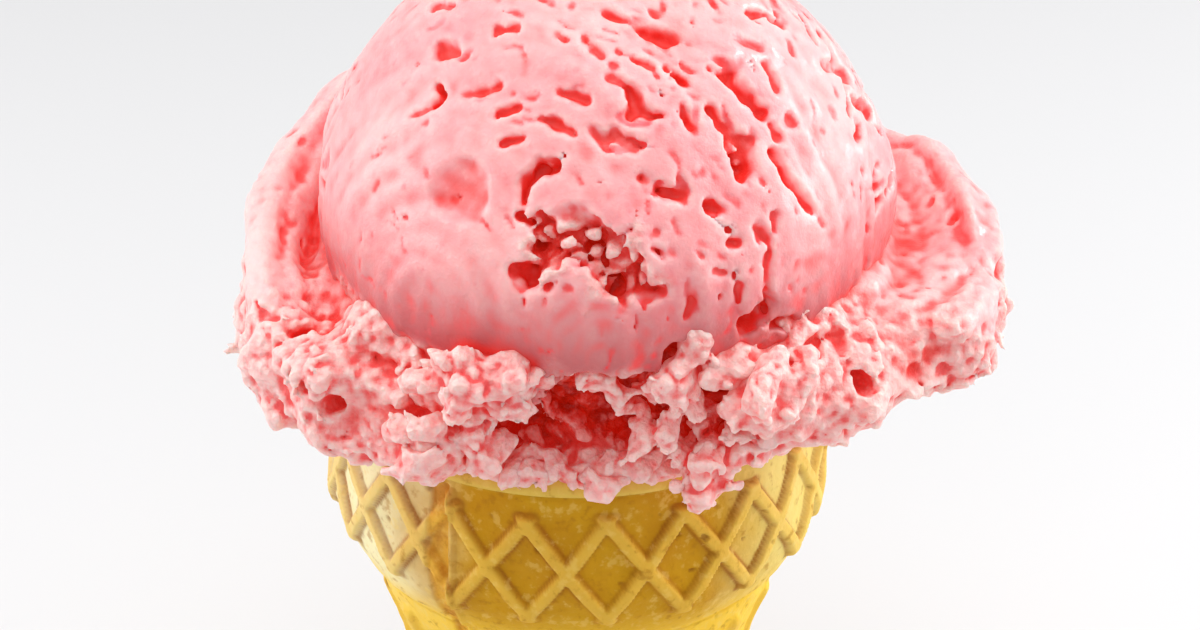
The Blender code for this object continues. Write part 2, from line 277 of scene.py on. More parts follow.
def thinned(piece):
    # collapses the flattest faces first, behind the middle only, until the piece is under its most
    # triangles
    count = sum(len(face.vertices) - 2 for face in piece.data.polygons)
    if count > trianglesMost:
        places = np.empty(len(piece.data.vertices) * 3, np.float32)
        piece.data.vertices.foreach_get("co", places)
        behind = np.flatnonzero(places[1::3] > scoop["thinBehind"] * mm)
        piece.vertex_groups.new(name="behind").add(behind.tolist(), 1.0, "REPLACE")
        modifier = piece.modifiers.new("thinned", "DECIMATE")
        modifier.vertex_group = "behind"
        modifier.ratio = trianglesMost / count
        seen = piece.evaluated_get(bpy.context.evaluated_depsgraph_get())
        mesh = bpy.data.meshes.new_from_object(seen)
        piece.modifiers.clear()
        piece.vertex_groups.clear()
        old, piece.data = piece.data, mesh
        bpy.data.meshes.remove(old)
        mesh.name = piece.name
        left = sum(len(face.vertices) - 2 for face in mesh.polygons)
        print(piece.name, "thinned from", count, "to", left)


def meshPiece(name, places, faces, attributes):
    # places in mm to a mesh object in metres, smooth-shaded, with one number or more at each point
    mesh = bpy.data.meshes.new(name)
    flat = np.asarray(faces, np.int32)
    mesh.vertices.add(len(places))
    mesh.vertices.foreach_set("co", (np.asarray(places) * mm).astype(np.float32).ravel())
    mesh.loops.add(flat.size)
    mesh.loops.foreach_set("vertex_index", flat.ravel())
    mesh.polygons.add(len(flat))
    mesh.polygons.foreach_set("loop_start", np.arange(len(flat), dtype=np.int32) * flat.shape[1])
    mesh.polygons.foreach_set("use_smooth", np.ones(len(flat), bool))
    mesh.update(calc_edges=True)
    mesh.validate()
    for label, values in attributes.items():
        layer = mesh.attributes.new(label, "FLOAT", "POINT")
        layer.data.foreach_set("value", values.astype(np.float32))
    piece = bpy.data.objects.new(name, mesh)
    bpy.context.scene.collection.objects.link(piece)
    return piece


# the ball, the core that the caverns end at, and the sloping cut under the frill where the dome ends, in mm
scoop = {
    "centreX": 2.9,
    "centreZ": 90.5,
    "radius": 28.7,
    "coreRadius": 20.8,
    "coreMiddle": 80.6,
    "coreHalfTall": 9.2,
    "coreFront": 9.0,
    "cutHeight": 82.0,
    "cutSlope": 0.18,
    "thinBehind": 3.0,  # y behind which triangles may be collapsed
}

# smooth dimples in the dome: degrees round, degrees up, half width, half height, depth
domeDimples = [
    (-33.6, 27.0, 3.6, 3.3, 1.1),
    (112, 8, 4.4, 3.4, 0.5),
    (-120, 14, 3.8, 4.2, 0.5),
]

# tears in the dome as tapered strokes: degrees round, degrees up and half width at each end, then depth
domeTears = [
    (-1.7, 68.4, 0.2, 15.0, 64.7, 0.4, 0.9),
    (15.0, 64.7, 0.5, 24.6, 60.9, 0.8, 1.3),
    (-9.0, 62.1, 0.3, -1.9, 58.2, 0.4, 1.0),
    (3.5, 59.1, 0.3, 16.0, 54.7, 0.3, 0.7),
    (1.8, 53.0, 0.4, 7.0, 50.9, 0.5, 0.8),
    (7.3, 50.8, 0.6, 8.0, 46.0, 0.7, 1.5),
    (7.9, 45.8, 0.6, 15.3, 44.9, 0.3, 1.2),
    (20.2, 54.4, 0.4, 27.3, 48.8, 0.4, 1.0),
    (21.1, 46.1, 0.5, 22.1, 41.6, 0.6, 1.3),
    (34.5, 52.3, 0.5, 39.5, 48.4, 0.7, 1.3),
    (39.5, 48.4, 0.7, 44.0, 40.0, 0.6, 1.5),
    (29.5, 44.5, 0.5, 32.7, 37.4, 1.5, 1.2),
    (31.0, 37.4, 1.3, 32.3, 31.6, 0.9, 2.4),
    (53.6, 48.3, 0.3, 52.1, 43.6, 0.5, 0.9),
    (41.1, 32.6, 0.4, 42.2, 25.9, 0.5, 1.3),
    (42.2, 25.9, 0.5, 45.5, 20.1, 0.4, 1.2),
    (7.9, 33.0, 0.5, 11.3, 31.1, 0.6, 1.6),
    (12.5, 30.5, 0.7, 15.9, 29.4, 0.5, 1.6),
    (22.5, 26.2, 0.5, 25.2, 24.8, 0.3, 1.3),
    (25.6, 18.6, 0.6, 26.9, 18.1, 0.6, 1.2),
    (31.2, 20.3, 0.4, 33.5, 17.5, 0.4, 1.1),
    (33.2, 14.6, 0.4, 31.5, 6.7, 0.3, 0.5),
    (53.2, 34.7, 0.4, 52.3, 33.3, 0.4, 0.8),
    (44.6, 37.8, 0.4, 44.2, 35.4, 0.4, 0.8),
    (-3.3, 42.3, 0.3, -0.8, 40.8, 0.5, 0.9),
    (1.9, 42.3, 0.3, 7.1, 38.9, 0.4, 0.7),
    (-11.0, 55.3, 0.4, -10.1, 54.5, 0.4, 0.9),
    (-9.6, 49.7, 0.3, -6.0, 48.5, 0.4, 0.9),
    (18.4, 17.4, 0.4, 19.2, 16.9, 0.4, 0.6),
    (21.6, 14.0, 0.3, 23.6, 13.2, 0.3, 0.5),
    (-77.9, 54.6, 0.4, -70.8, 57.6, 0.5, 0.8),
    (-45.7, 58.5, 0.2, -38.2, 61.3, 0.4, 0.8),
    (-22.4, 61.7, 0.3, -15.4, 61.1, 0.4, 0.9),
    (-60.2, 50.2, 0.4, -53.9, 50.8, 0.6, 1.1),
    (-52.1, 43.8, 0.5, -48.5, 42.2, 0.8, 2.4),
    (-48.9, 41.9, 0.7, -52.2, 38.0, 0.4, 2.0),
    (-52.2, 38.0, 0.4, -55.0, 35.8, 0.3, 0.6),
    (-38.3, 46.1, 0.4, -33.8, 48.7, 0.5, 0.7),
    (-12.4, 54.4, 0.4, -9.4, 54.1, 0.4, 0.9),
    (-14.4, 50.0, 0.3, -6.0, 48.3, 0.5, 1.0),
    (-30.5, 42.7, 0.3, -26.0, 45.0, 0.5, 0.9),
    (-17.2, 44.3, 0.3, -10.7, 42.5, 0.5, 1.0),
    (-10.7, 42.5, 0.5, -7.5, 41.4, 0.3, 0.9),
    (-26.4, 37.6, 0.3, -21.4, 39.9, 0.4, 0.8),
    (-9.4, 38.8, 0.5, -10.2, 35.7, 0.7, 2.4),      # the torn arc over the granular patch
    (-10.6, 35.7, 0.7, -15.8, 34.5, 0.6, 2.0),
    (-15.8, 34.5, 0.6, -18.8, 30.9, 0.6, 2.2),
    (-18.8, 30.9, 0.6, -17.9, 27.3, 0.5, 2.0),
    (-18.6, 24.7, 0.6, -16.3, 23.7, 0.5, 2.0),
    (-17.1, 21.4, 0.4, -14.3, 18.9, 0.4, 1.6),
    (-14.3, 18.9, 0.4, -7.5, 18.9, 0.3, 1.6),
    (-16.4, 14.2, 0.9, -15.3, 12.4, 0.9, 2.8),
    (-11.2, 12.7, 0.5, -8.9, 13.9, 0.6, 1.6),
    (2.0, 13.2, 0.6, 3.0, 9.1, 0.7, 2.2),
    (27.8, 0.5, 0.9, 31.6, 3.7, 1.3, 3.6),         # the wedge beside the lower lip
    (31.6, 4.9, 0.6, 32.4, 6.0, 0.4, 2.0),
    (34.7, -0.3, 0.6, 38.9, -1.8, 0.5, 2.2),
]


def moreTears(count):
    # like tears round the back and the sides, at random: places, lengths in mm, leans and widths
    rng = np.random.default_rng(11)
    rows = []
    for degrees, up, length, lean, half, deep in rng.random((count, 6)):
        degrees = 62 + 218 * degrees
        up = 4 + 66 * up ** 1.2
        length = 1.0 + 3.6 * length ** 2
        lean = math.radians(90 * lean - 45)
        half = 0.3 + 0.6 * half ** 2
        depth = 0.7 + 1.6 * half * deep + 0.4 * deep
        across = math.degrees(length * math.cos(lean) / scoop["radius"]) / math.cos(math.radians(up))
        rise = math.degrees(length * math.sin(lean) / scoop["radius"])
        rows.append((degrees, up, half * 0.7, degrees + across, up + rise, half, depth))
    return rows


domeTears += moreTears(64)

# torn granular patches on the dome: degrees round, degrees up, half width, half height, depth
domePatches = [
    (-7.6, 20.4, 4.3, 3.1, 1.9),
    (2.8, 16.4, 3.5, 3.3, 1.9),
    (140, 30, 6.0, 4.5, 1.5),
    (-145, 16, 5.0, 3.5, 1.4),
]

# the cavern torn in the front under the dome's lip, as degrees, mm out, height, half sizes in mm
caverns = [
    (4.6, 28.2, 81.2, 9.4, 8.6, 6.8),
    (13.5, 28.6, 87.0, 4.2, 5.6, 3.2),
    (-17.0, 27.6, 77.7, 6.4, 6.4, 3.5),
    (22.5, 28.8, 81.6, 5.6, 6.0, 3.3),
]


def facing(degreesRound, degreesUp):
    # outward, sideways and upward directions at a place on the dome
    turn, lift = math.radians(degreesRound), math.radians(degreesUp)
    out = np.array([math.sin(turn) * math.cos(lift), -math.cos(turn) * math.cos(lift), math.sin(lift)])
    side = np.array([math.cos(turn), math.sin(turn), 0.0])
    return out.astype(np.float32), side.astype(np.float32), np.cross(side, out).astype(np.float32) * -1


def ovalAt(q, row, ragged):
    # 0 at the middle of an oval on the dome and 1 on its edge, which is pushed about by ragged
    degreesRound, degreesUp, halfWidth, halfHeight = row[:4]
    out, side, rise = facing(degreesRound, degreesUp)
    oval = np.sqrt((q @ side / halfWidth) ** 2 + (q @ rise / halfHeight) ** 2) + ragged
    return np.where(q @ out > 0, oval, wellOut)


def fromCentre(p):
    # points measured from the middle of the ball
    return p - np.array([scoop["centreX"], 0, scoop["centreZ"]], np.float32)


def tearDepth(q, ragged):
    # depth of the strokes: full inside each one's half width, nothing beyond, with a ragged edge, and
    # less where a stroke is narrow
    depth = np.zeros(len(q), np.float32)
    r = scoop["radius"]
    for degreesA, upA, halfA, degreesB, upB, halfB, deep in domeTears:
        a, b = facing(degreesA, upA)[0] * r, facing(degreesB, upB)[0] * r
        length = b - a
        reach = np.linalg.norm(length) / 2 + max(halfA, halfB) + 3.6
        near = np.flatnonzero(((q - (a + b) / 2) ** 2).sum(1) < reach ** 2)
        spot = q[near]
        spot = spot * (r / np.linalg.norm(spot, axis=1))[:, None]
        share = np.clip((spot - a) @ length / (length @ length), 0, 1)
        away = np.linalg.norm(spot - a - share[:, None] * length, axis=1)
        half = halfA + share * (halfB - halfA)
        oval = away / (0.09 + 0.84 * half) + ragged[near] * 1.9
        cut = np.minimum(deep, 3.4 * half) * (1 - ease(0.70, 1.14, oval))
        depth[near] = np.maximum(depth[near], cut)
    return depth


def cavernField(p, wander):
    # below 0 inside the torn caverns, whose ovals are bent by the wander vectors
    nearest = np.full(len(p), wellOut, np.float32)
    for degrees, distance, height, halfWide, halfDeep, halfTall in caverns:
        turn = math.radians(degrees)
        q = p + wander - onScoop(degrees, distance, height)
        a = q[:, 0] * math.cos(turn) + q[:, 1] * math.sin(turn)
        b = -q[:, 0] * math.sin(turn) + q[:, 1] * math.cos(turn)
        size = np.sqrt((a / halfWide) ** 2 + (b / halfDeep) ** 2 + (q[:, 2] / halfTall) ** 2)
        nearest = np.minimum(nearest, (size - 1) * min(halfWide, halfDeep, halfTall))
    return nearest


def wanderAt(p, size, amount):
    # a smooth vector that wanders by amount over size mm
    return np.stack([lookUp(soft, p, size, shift) for shift in (1.7, 7.3, 13.1)], 1) * np.float32(amount)


def crumbling(p, coarse=2.7, fine=1.15):
    # lumps with sharp creases: the creases of two sizes of crumb, bent so that no cell looks round
    bent = p + wanderAt(p, 2.1, 0.62) + wanderAt(p, 0.9, 0.2)
    big = np.sqrt(np.clip(lookUp(crumb, bent, coarse, 0.4), 0, 1))
    small = np.sqrt(np.clip(lookUp(crumb, bent, fine, 3.1), 0, 1))
    return big, small


# what the drag marks curl round, in degrees round and up, where the curl starts and its stretch
curls = {"degrees": -36, "up": 2, "start": 0.8, "stretch": 2.5}


def dragged(q, away):
    # coordinates on the dome that a noise read in them is drawn out by: mm from the place that the
    # drag marks curl round, mm along the curl, shortened, and mm in depth
    pole, side, rise = facing(curls["degrees"], curls["up"])
    away = np.maximum(away, 1)
    turn = np.arccos(np.clip(q @ pole / away, -1, 1))
    curl = np.arctan2(q @ side, q @ rise) - curls["start"]
    curl = (curl + math.pi) % (2 * math.pi) - math.pi
    r = scoop["radius"]
    along = r * np.sin(turn) * curl / curls["stretch"]
    return np.stack([r * turn, along, away - r], 1).astype(np.float32)


def dragMarks(p, q, away):
    # pits and dots drawn out along the drag of the scoop, crowded at the upper right and sparse at the left
    drag = dragged(q + wanderAt(p, 3.0, 0.45) + wanderAt(p, 1.1, 0.10), away)
    pits = lookUp(soft, drag, 0.66, 6.6) + 0.16 * lookUp(soft, p, 0.6, 2.4)
    cuts = lookUp(soft, drag * np.float32([1, 0.8, 1]), 0.95, 2.9) + 0.16 * lookUp(soft, p, 0.7, 5.1)
    dots = lookUp(soft, drag * np.float32([1, 1.25, 1]), 0.56, 9.3)
    patchy = lookUp(soft, p, 6.0, 3.3)
    crowd = 0.5 + 0.5 * np.tanh((q[:, 0] + 0.55 * q[:, 2] - 4) / 9) + 0.20 * patchy
    crowd = np.where(q[:, 1] > 8, 0.5 + 0.3 * patchy, crowd)
    crowd = np.clip(crowd, 0.0, 1.0) * ease(-8, 4, q[:, 2] + 0.3 * q[:, 0])
    crowd = crowd * (1 - 0.75 * ease(15, 22, q[:, 0]) * (q[:, 1] < 8))
    level = 2.05 - 1.05 * crowd
    holes = ease(level, level + 0.85, pits) * (0.38 + 0.42 * crowd)
    level = 3.1 - 1.25 * crowd
    holes = np.maximum(holes, ease(level, level + 1.1, cuts))
    level = 1.95 - 0.5 * crowd
    return holes, ease(level, level + 0.6, dots)


def tornOnDome(p):
    # 1 where the dome's skin is torn: inside the granular patches and below its lower lip
    q = fromCentre(p)
    ragged = 0.24 * lookUp(soft, p, 1.9, 9.0) + 0.12 * lookUp(soft, p, 1.0, 2.2)
    torn = ease(-1.0, -4.5, q[:, 2] + 1.2 * lookUp(soft, p, 2.4, 6.0))
    for row in domePatches:
        torn = np.maximum(torn, 1 - ease(0.72, 1.08, ovalAt(q, row, ragged)))
    return torn


def domeField(p, fine):
    # distance from the scooped ball, less what is torn out of it, cut off where the frill hides it
    q = fromCentre(p)
    away = np.linalg.norm(q, axis=1)
    ball = away - scoop["radius"]
    floor = scoop["cutHeight"] + scoop["cutSlope"] * p[:, 1] - p[:, 2]
    if not fine:
        return np.maximum(ball, floor)
    swell = 0.30 * lookUp(soft, p, 12.0) + 0.18 * lookUp(soft, p, 5.0, 4.2)
    swell = swell + 0.09 * lookUp(soft, dragged(q, away) * np.float32([1, 0.4, 0.3]), 1.1, 8.0)
    grain = lookUp(soft, p, 1.0, 2.2)
    ragged = 0.22 * lookUp(soft, p, 1.6, 9.0) + 0.16 * lookUp(soft, p, 0.7, 1.1)
    big, small = crumbling(p, 2.0, 1.0)
    grains = np.clip(lookUp(crumb, p + wanderAt(p, 1.6, 0.25), 1.75, 5.5) * 1.5, 0, 1)
    holes, dots = dragMarks(p, q, away)
    depth = holes + dots * 0.26 + tearDepth(q, ragged)
    for row in domeDimples:
        depth = depth + row[4] * np.clip(1 - ovalAt(q, row, ragged * 0.2) ** 2, 0, 1) ** 0.8
    torn = tornOnDome(p)
    for row in domePatches:
        inside = 1 - ease(0.72, 1.08, ovalAt(q, row, ragged * 0.9))
        depth = depth + row[4] * inside * (1.35 - 1.45 * grains)
    depth = depth + torn * (0.9 * (0.5 - big) + 0.6 * (0.5 - small))
    surface = ball + depth - swell - (0.03 + 0.07 * torn) * grain
    wander = wanderAt(p, 3.4, 1.0) + wanderAt(p, 1.3, 0.45)
    cavern = cavernField(p, wander) + 1.3 * (big - 0.5) + 0.9 * (small - 0.5)
    whole = blendMax(surface, -cavern, 0.4)
    return np.maximum(whole, floor).astype(np.float32)


def coreField(p, fine):
    # distance from the front of the scoop's core, the crumbly back wall of the caverns
    x, y = p[:, 0] - scoop["centreX"], p[:, 1]
    tall = np.abs(p[:, 2] - scoop["coreMiddle"]) - scoop["coreHalfTall"]
    core = np.maximum(np.hypot(x, y) - scoop["coreRadius"], tall)
    core = np.maximum(core, y + scoop["coreFront"])
    if not fine:
        return core
    big, small = crumbling(p, 2.0, 0.95)
    lumps = 1.0 * lookUp(soft, p, 2.6, 4.4) + 0.14 * lookUp(soft, p, 0.6, 2.0)
    return (core + 2.4 * (0.45 - big) + 1.2 * (0.5 - small) - lumps).astype(np.float32)


# where the frill goes. Each station: degrees, reach, top and lower edge, height where it meets the ball,
# and height of the trough between ball and lip, all in mm
frill = {
    "stations": [
        (-180, 35.0, 92.0, 77.0, 89.0, 88.5),
        (-135, 36.9, 96.0, 78.0, 90.5, 90.5),
        (-112, 36.9, 93.4, 77.0, 89.0, 87.0),
        (-90, 37.2, 90.2, 75.6, 87.0, 84.0),
        (-72, 37.6, 87.2, 74.2, 86.8, 84.8),
        (-60, 36.6, 86.4, 73.0, 87.6, 86.2),
        (-50, 35.2, 85.8, 74.4, 88.0, 87.0),
        (-30, 32.2, 84.5, 74.6, 86.5, 86.0),
        (-19, 26.6, 83.0, 75.4, 85.0, 84.5),
        (-8, 24.7, 82.0, 76.0, 84.0, 83.5),
        (8, 24.7, 82.5, 76.0, 84.0, 83.5),
        (16, 27.6, 83.5, 75.8, 86.5, 85.5),
        (25, 31.0, 84.5, 75.2, 87.5, 86.5),
        (45, 34.2, 86.0, 78.4, 89.5, 88.0),
        (62, 38.6, 87.2, 79.8, 89.5, 87.5),
        (70, 40.2, 88.0, 79.0, 89.0, 86.5),
        (78, 40.8, 88.5, 78.6, 88.5, 86.2),
        (88, 40.3, 89.8, 78.0, 88.5, 86.2),
        (112, 39.2, 92.2, 78.0, 89.0, 87.4),
        (125, 37.6, 89.2, 78.0, 89.0, 87.4),
        (145, 37.2, 90.3, 78.0, 89.0, 88.0),
        (180, 35.0, 92.0, 77.0, 89.0, 88.5),
    ],
    # hanging corners: degrees, mm out, height and radius
    "tips": [
        (-63, 34.8, 76.0, 2.2),
        (-61, 35.0, 74.2, 1.1),
        (73, 38.9, 80.4, 1.7),
        (77, 40.0, 80.2, 1.1),
    ],
    # small torn pockets: degrees, mm out, height and radius
    "pockets": [
        (-57, 35.6, 82.0, 1.4),
        (-50, 34.6, 80.5, 1.2),
        (-34, 32.0, 86.0, 1.1),
        (-35, 32.2, 80.0, 1.2),
        (-29, 31.0, 82.0, 1.0),
        (-22, 27.1, 87.0, 1.2),
        (58, 32.6, 88.6, 0.8),
        (59, 34.8, 88.0, 0.8),
        (51, 31.8, 88.6, 1.0),
        (37, 29.9, 89.8, 1.2),
        (57, 37.0, 82.5, 1.2),
        (46, 34.2, 83.5, 1.1),
        (45, 32.4, 86.6, 1.0),
        (35, 32.1, 86.0, 1.1),
        (88, 37.6, 86.6, 0.9),
        (80, 36.8, 86.0, 0.7),
    ],
    "grooveIn": 4.3,  # the groove along the lip, from its edge
    "grooveHalf": 1.0,
    "lipWidth": 3.5,
    "round": 0.9,  # of the section's corners
    "seat": 72.35,  # height of its underside over the wafer's rim
    "shredSeat": 72.3,
    "clear": 25.75,  # mm out, from where it hangs free of the wafer's wall
    "parting": 6.0,  # x where its halves part at the front
}


def sectionDistance(corners, r, z):
    # signed distance to a closed outline of corners in the (r, z) plane: nearest side, negative within
    nearest = np.full(r.shape, 99.0)
    within = np.zeros(r.shape, bool)
    for (ar, az), (br, bz) in zip(corners, corners[1:] + corners[:1]):
        dr, dz = br - ar, bz - az
        share = np.clip(((r - ar) * dr + (z - az) * dz) / (dr * dr + dz * dz), 0, 1)
        nearest = np.minimum(nearest, np.hypot(r - ar - share * dr, z - az - share * dz))
        crossing = ((az > z) != (bz > z)) & (r < ar + (z - az) * dr / (dz if dz else 1))
        within ^= crossing
    return np.where(within, -nearest, nearest)


sectionFrom = (12, 66)  # the least radius and height in the table of sections, in mm
sectionStep = 0.5
turnStep = 3.0  # degrees from one section to the next


def frillSections():
    # distances to the frill's section on a grid of turn, radius and height
    table = np.array(frill["stations"])
    around = np.arange(-540, 541, turnStep)
    shown = np.abs(around) <= 180
    marks = np.concatenate([table[:-1, 0] - 360, table[:-1, 0], table[:, 0] + 360])
    kernel = np.hanning(5) / np.hanning(5).sum()
    columns = []
    for c in range(1, 6):
        values = np.concatenate([table[:-1, c], table[:-1, c], table[:, c]])
        columns.append(np.convolve(np.interp(around, marks, values), kernel, "same")[shown])
    radii = np.arange(sectionFrom[0], 47, sectionStep)
    heights = np.arange(sectionFrom[1], 102, sectionStep)
    r, z = np.meshgrid(radii, heights, indexing="ij")
    inset = frill["round"]
    sheets = []
    for reach, top, foot, meets, floor in zip(*columns):
        reach, top, foot = reach - inset, top - inset, foot + inset
        lip = reach - frill["lipWidth"]
        corners = [
            (16.0, 73.3),
            (16.0, meets - 2.0),
            (26.5, meets + 0.4),
            (29.6, floor),
            (0.5 * (29.6 + lip), floor - 0.3),
            (lip - 0.6, 0.45 * floor + 0.55 * top),
            (lip + 0.8, top),
            (reach - 0.4, top - 1.6),
            (reach, 0.5 * (top + foot)),
            (reach - 0.2, foot + 1.0),
            (reach - 1.6, foot - 0.4),
            (26.9, 0.4 * foot + 44.0),
            (23.0, 73.2),
        ]
        sheets.append(sectionDistance(corners, r, z) - inset)
    return np.array(sheets, np.float32)


frillTable = frillSections()
frillEdge = np.array([row[:2] for row in frill["stations"]])


def aroundScoop(p):
    # degrees round the scoop's axis and mm out from it
    x, y = p[:, 0] - scoop["centreX"], p[:, 1]
    return np.degrees(np.arctan2(x, -y)), np.hypot(x, y)


def frillDistance(degrees, out, height):
    # the section table read between its entries
    n = frillTable.shape
    place = [
        (degrees + 180) / turnStep,
        (out - sectionFrom[0]) / sectionStep,
        (height - sectionFrom[1]) / sectionStep,
    ]
    place = [np.clip(v, 0, size - 1.001) for v, size in zip(place, n)]
    whole = [v.astype(np.int32) for v in place]
    share = [(v - w).astype(np.float32) for v, w in zip(place, whole)]
    base = (whole[0] * n[1] + whole[1]) * n[2] + whole[2]
    flat = frillTable.ravel()
    total = 0
    for i in (0, 1):
        for j in (0, 1):
            row = base + i * n[1] * n[2] + j * n[2]
            weight = (share[0] if i else 1 - share[0]) * (share[1] if j else 1 - share[1])
            total = total + weight * (flat[row] * (1 - share[2]) + flat[row + 1] * share[2])
    return total


def tornOnFrill(p):
    # 1 where the frill is broken into crumbs, and less where it was smeared: its trough and lip,
    # at the sides and behind
    degrees, out = aroundScoop(p)
    smear = ease(82.8, 86.6, p[:, 2] + 1.0 * lookUp(soft, p, 4.0, 6.0))
    smear = smear * ease(55, 74, np.abs(degrees) + 5 * lookUp(soft, p, 6.0, 5.0))
    return 1 - 0.9 * smear


def frillField(p, fine, side):
    # distance from one half of the frill, the halves parting at the front and at the back
    degrees, out = aroundScoop(p)
    parting = np.where(p[:, 1] < 0, p[:, 0] - frill["parting"], p[:, 0] - scoop["centreX"])
    if not fine:
        return np.maximum(frillDistance(degrees, out, p[:, 2]), -side * parting)
    wander = wanderAt(p, 6.5, 0.55) + wanderAt(p, 2.6, 0.38)
    torn = tornOnFrill(p)
    wander = wander * (0.25 + 0.75 * torn)[:, None]
    base = frillDistance(degrees, out + wander[:, 0], p[:, 2] + wander[:, 2])
    for tip in frill["tips"]:
        base = blendMin(base, np.linalg.norm(p + wander - onScoop(*tip[:3]), axis=1) - tip[3], 1.6)
    big, small = crumbling(p)
    grain = lookUp(soft, p, 0.62, 8.8)
    caves = ease(1.25, 2.0, lookUp(soft, p, 2.5, 12.0)) * 2.2 * torn
    gaps = ease(1.0, 1.8, lookUp(soft, p, 1.15, 15.0)) * 0.9
    slits = ease(1.6, 2.3, lookUp(soft, stretched(p, (0.3, 1.0, 0.1), 2.0), 0.8, 5.0)) * 0.7
    # the smeared part carries ridges that run round with the scoop's turn
    streak = lookUp(soft, np.stack([degrees * 0.10, out, p[:, 2]], 1).astype(np.float32), 1.5, 3.7)
    ridges = (0.18 * streak + 0.30 * ease(1.1, 1.9, streak)) * (1 - torn)
    # and a groove a little way in from the edge of the lip
    edge = np.interp(degrees, frillEdge[:, 0], frillEdge[:, 1]) + 0.5 * wander[:, 0]
    groove = np.exp(-((out - edge + frill["grooveIn"]) / frill["grooveHalf"]) ** 2)
    ridges = ridges - 1.0 * groove * (1 - torn) * ease(84.5, 87.0, p[:, 2]) * ease(52, 66, np.abs(degrees))
    rough = 0.35 + 0.75 * ease(-0.8, 0.7, lookUp(soft, p, 4.6, 7.7))
    lumps = 0.6 * lookUp(soft, p, 3.4, 1.4) + 0.16 * lookUp(soft, p, 0.95, 4.1)
    crumbs = rough * (1.45 * (0.45 - big) + 1.1 * (0.5 - small) + gaps)
    depth = torn * (crumbs + caves - lumps) + slits * (1 - torn)
    swell = 0.12 * (1 - torn) * lookUp(soft, p, 3.6, 2.0)
    surface = base + depth - ridges - (0.04 + 0.11 * torn) * grain - swell
    for pocket in frill["pockets"]:
        away = p - onScoop(*pocket[:3])
        near = np.flatnonzero((away ** 2).sum(1) < 16)
        bent = away[near] * np.float32([1, 0.7, 1.1]) + wander[near] * 0.8
        cut = pocket[3] * 1.15 - np.linalg.norm(bent, axis=1)
        surface[near] = blendMax(surface[near], cut - 0.5 * (small[near] - 0.5), 0.3)
    cavern = cavernField(p, wanderAt(p, 3.4, 1.0) + wanderAt(p, 1.3, 0.45))
    cavern = cavern + 1.7 * (big - 0.5) + 1.1 * (small - 0.5)
    surface = blendMax(surface, -cavern, 0.3)
    surface = np.maximum(surface, -side * (parting + 2.5 * wander[:, 1]))
    # it rests on the wafer's rim and hangs clear of its wall
    cup = np.maximum(np.hypot(p[:, 0], p[:, 1]) - frill["clear"], p[:, 2] - frill["seat"])
    return np.maximum(surface, -cup).astype(np.float32)


# shreds, chunks and drips in the torn front: two ends as degrees, mm out, height and radius
strands = [
    (0.8, 26.6, 87.8, 1.1, 1.9, 27.2, 85.5, 0.9),
    (1.9, 27.2, 85.5, 0.9, 2.0, 27.0, 82.0, 1.3),
    (-5.8, 27.5, 87.3, 0.8, -1.0, 27.5, 85.4, 0.8),
    (18.8, 27.4, 90.0, 1.8, 17.0, 28.3, 86.0, 1.9),
    (17.0, 28.3, 86.0, 1.9, 9.6, 28.0, 86.2, 1.5),
    (12.5, 28.0, 86.0, 2.0, 11.2, 27.8, 81.2, 0.8),
    (16.6, 28.3, 85.5, 1.6, 17.3, 28.2, 83.0, 0.9),
    (6.8, 26.4, 82.5, 1.2, 6.8, 26.4, 77.8, 1.2),
    (-11.3, 25.0, 81.0, 0.8, -13.5, 25.0, 78.4, 1.2),
    (-13.5, 25.0, 78.4, 1.2, -7.4, 25.2, 78.4, 0.8),
    (-33.0, 30.0, 85.0, 2.4, -26.0, 29.9, 86.2, 2.6),
    (-26.0, 29.9, 86.2, 2.6, -19.5, 29.2, 86.6, 2.1),
    (-28.0, 30.4, 83.4, 2.2, -19.2, 29.0, 83.8, 1.9),
    (-22.0, 29.0, 82.0, 1.2, -16.5, 28.4, 83.2, 0.8),
    (-36.0, 30.6, 79.4, 2.4, -25.0, 28.8, 78.6, 1.8),
    (-25.0, 28.8, 78.6, 1.8, -22.0, 28.2, 77.4, 1.1),
    (-34.4, 26.6, 75.4, 1.3, -19.2, 24.6, 74.8, 1.0),
    (-19.2, 24.6, 74.8, 1.0, -1.5, 24.2, 74.7, 0.9),
    (-1.5, 24.2, 74.7, 0.9, 12.8, 25.0, 76.0, 1.1),
    (-19.7, 25.8, 74.6, 1.2, -22.1, 27.0, 71.8, 0.5),
    (-12.7, 25.0, 75.2, 0.9, -11.7, 26.0, 74.1, 0.45),
    (-6.2, 25.0, 75.4, 0.9, -4.9, 26.0, 74.2, 0.45),
    (14.5, 26.8, 77.0, 1.5, 19.0, 28.0, 71.4, 0.5),
    (20.0, 27.2, 77.0, 1.8, 19.4, 28.2, 70.9, 0.5),
    (26.0, 28.0, 77.2, 1.8, 20.4, 28.2, 72.0, 0.7),
    (32.5, 28.8, 77.6, 1.8, 23.5, 28.4, 74.6, 1.0),
    (27.4, 32.0, 84.8, 2.6, 34.6, 32.6, 85.7, 2.3),
    (27.0, 31.6, 83.4, 2.0, 33.0, 32.0, 83.6, 2.0),
]


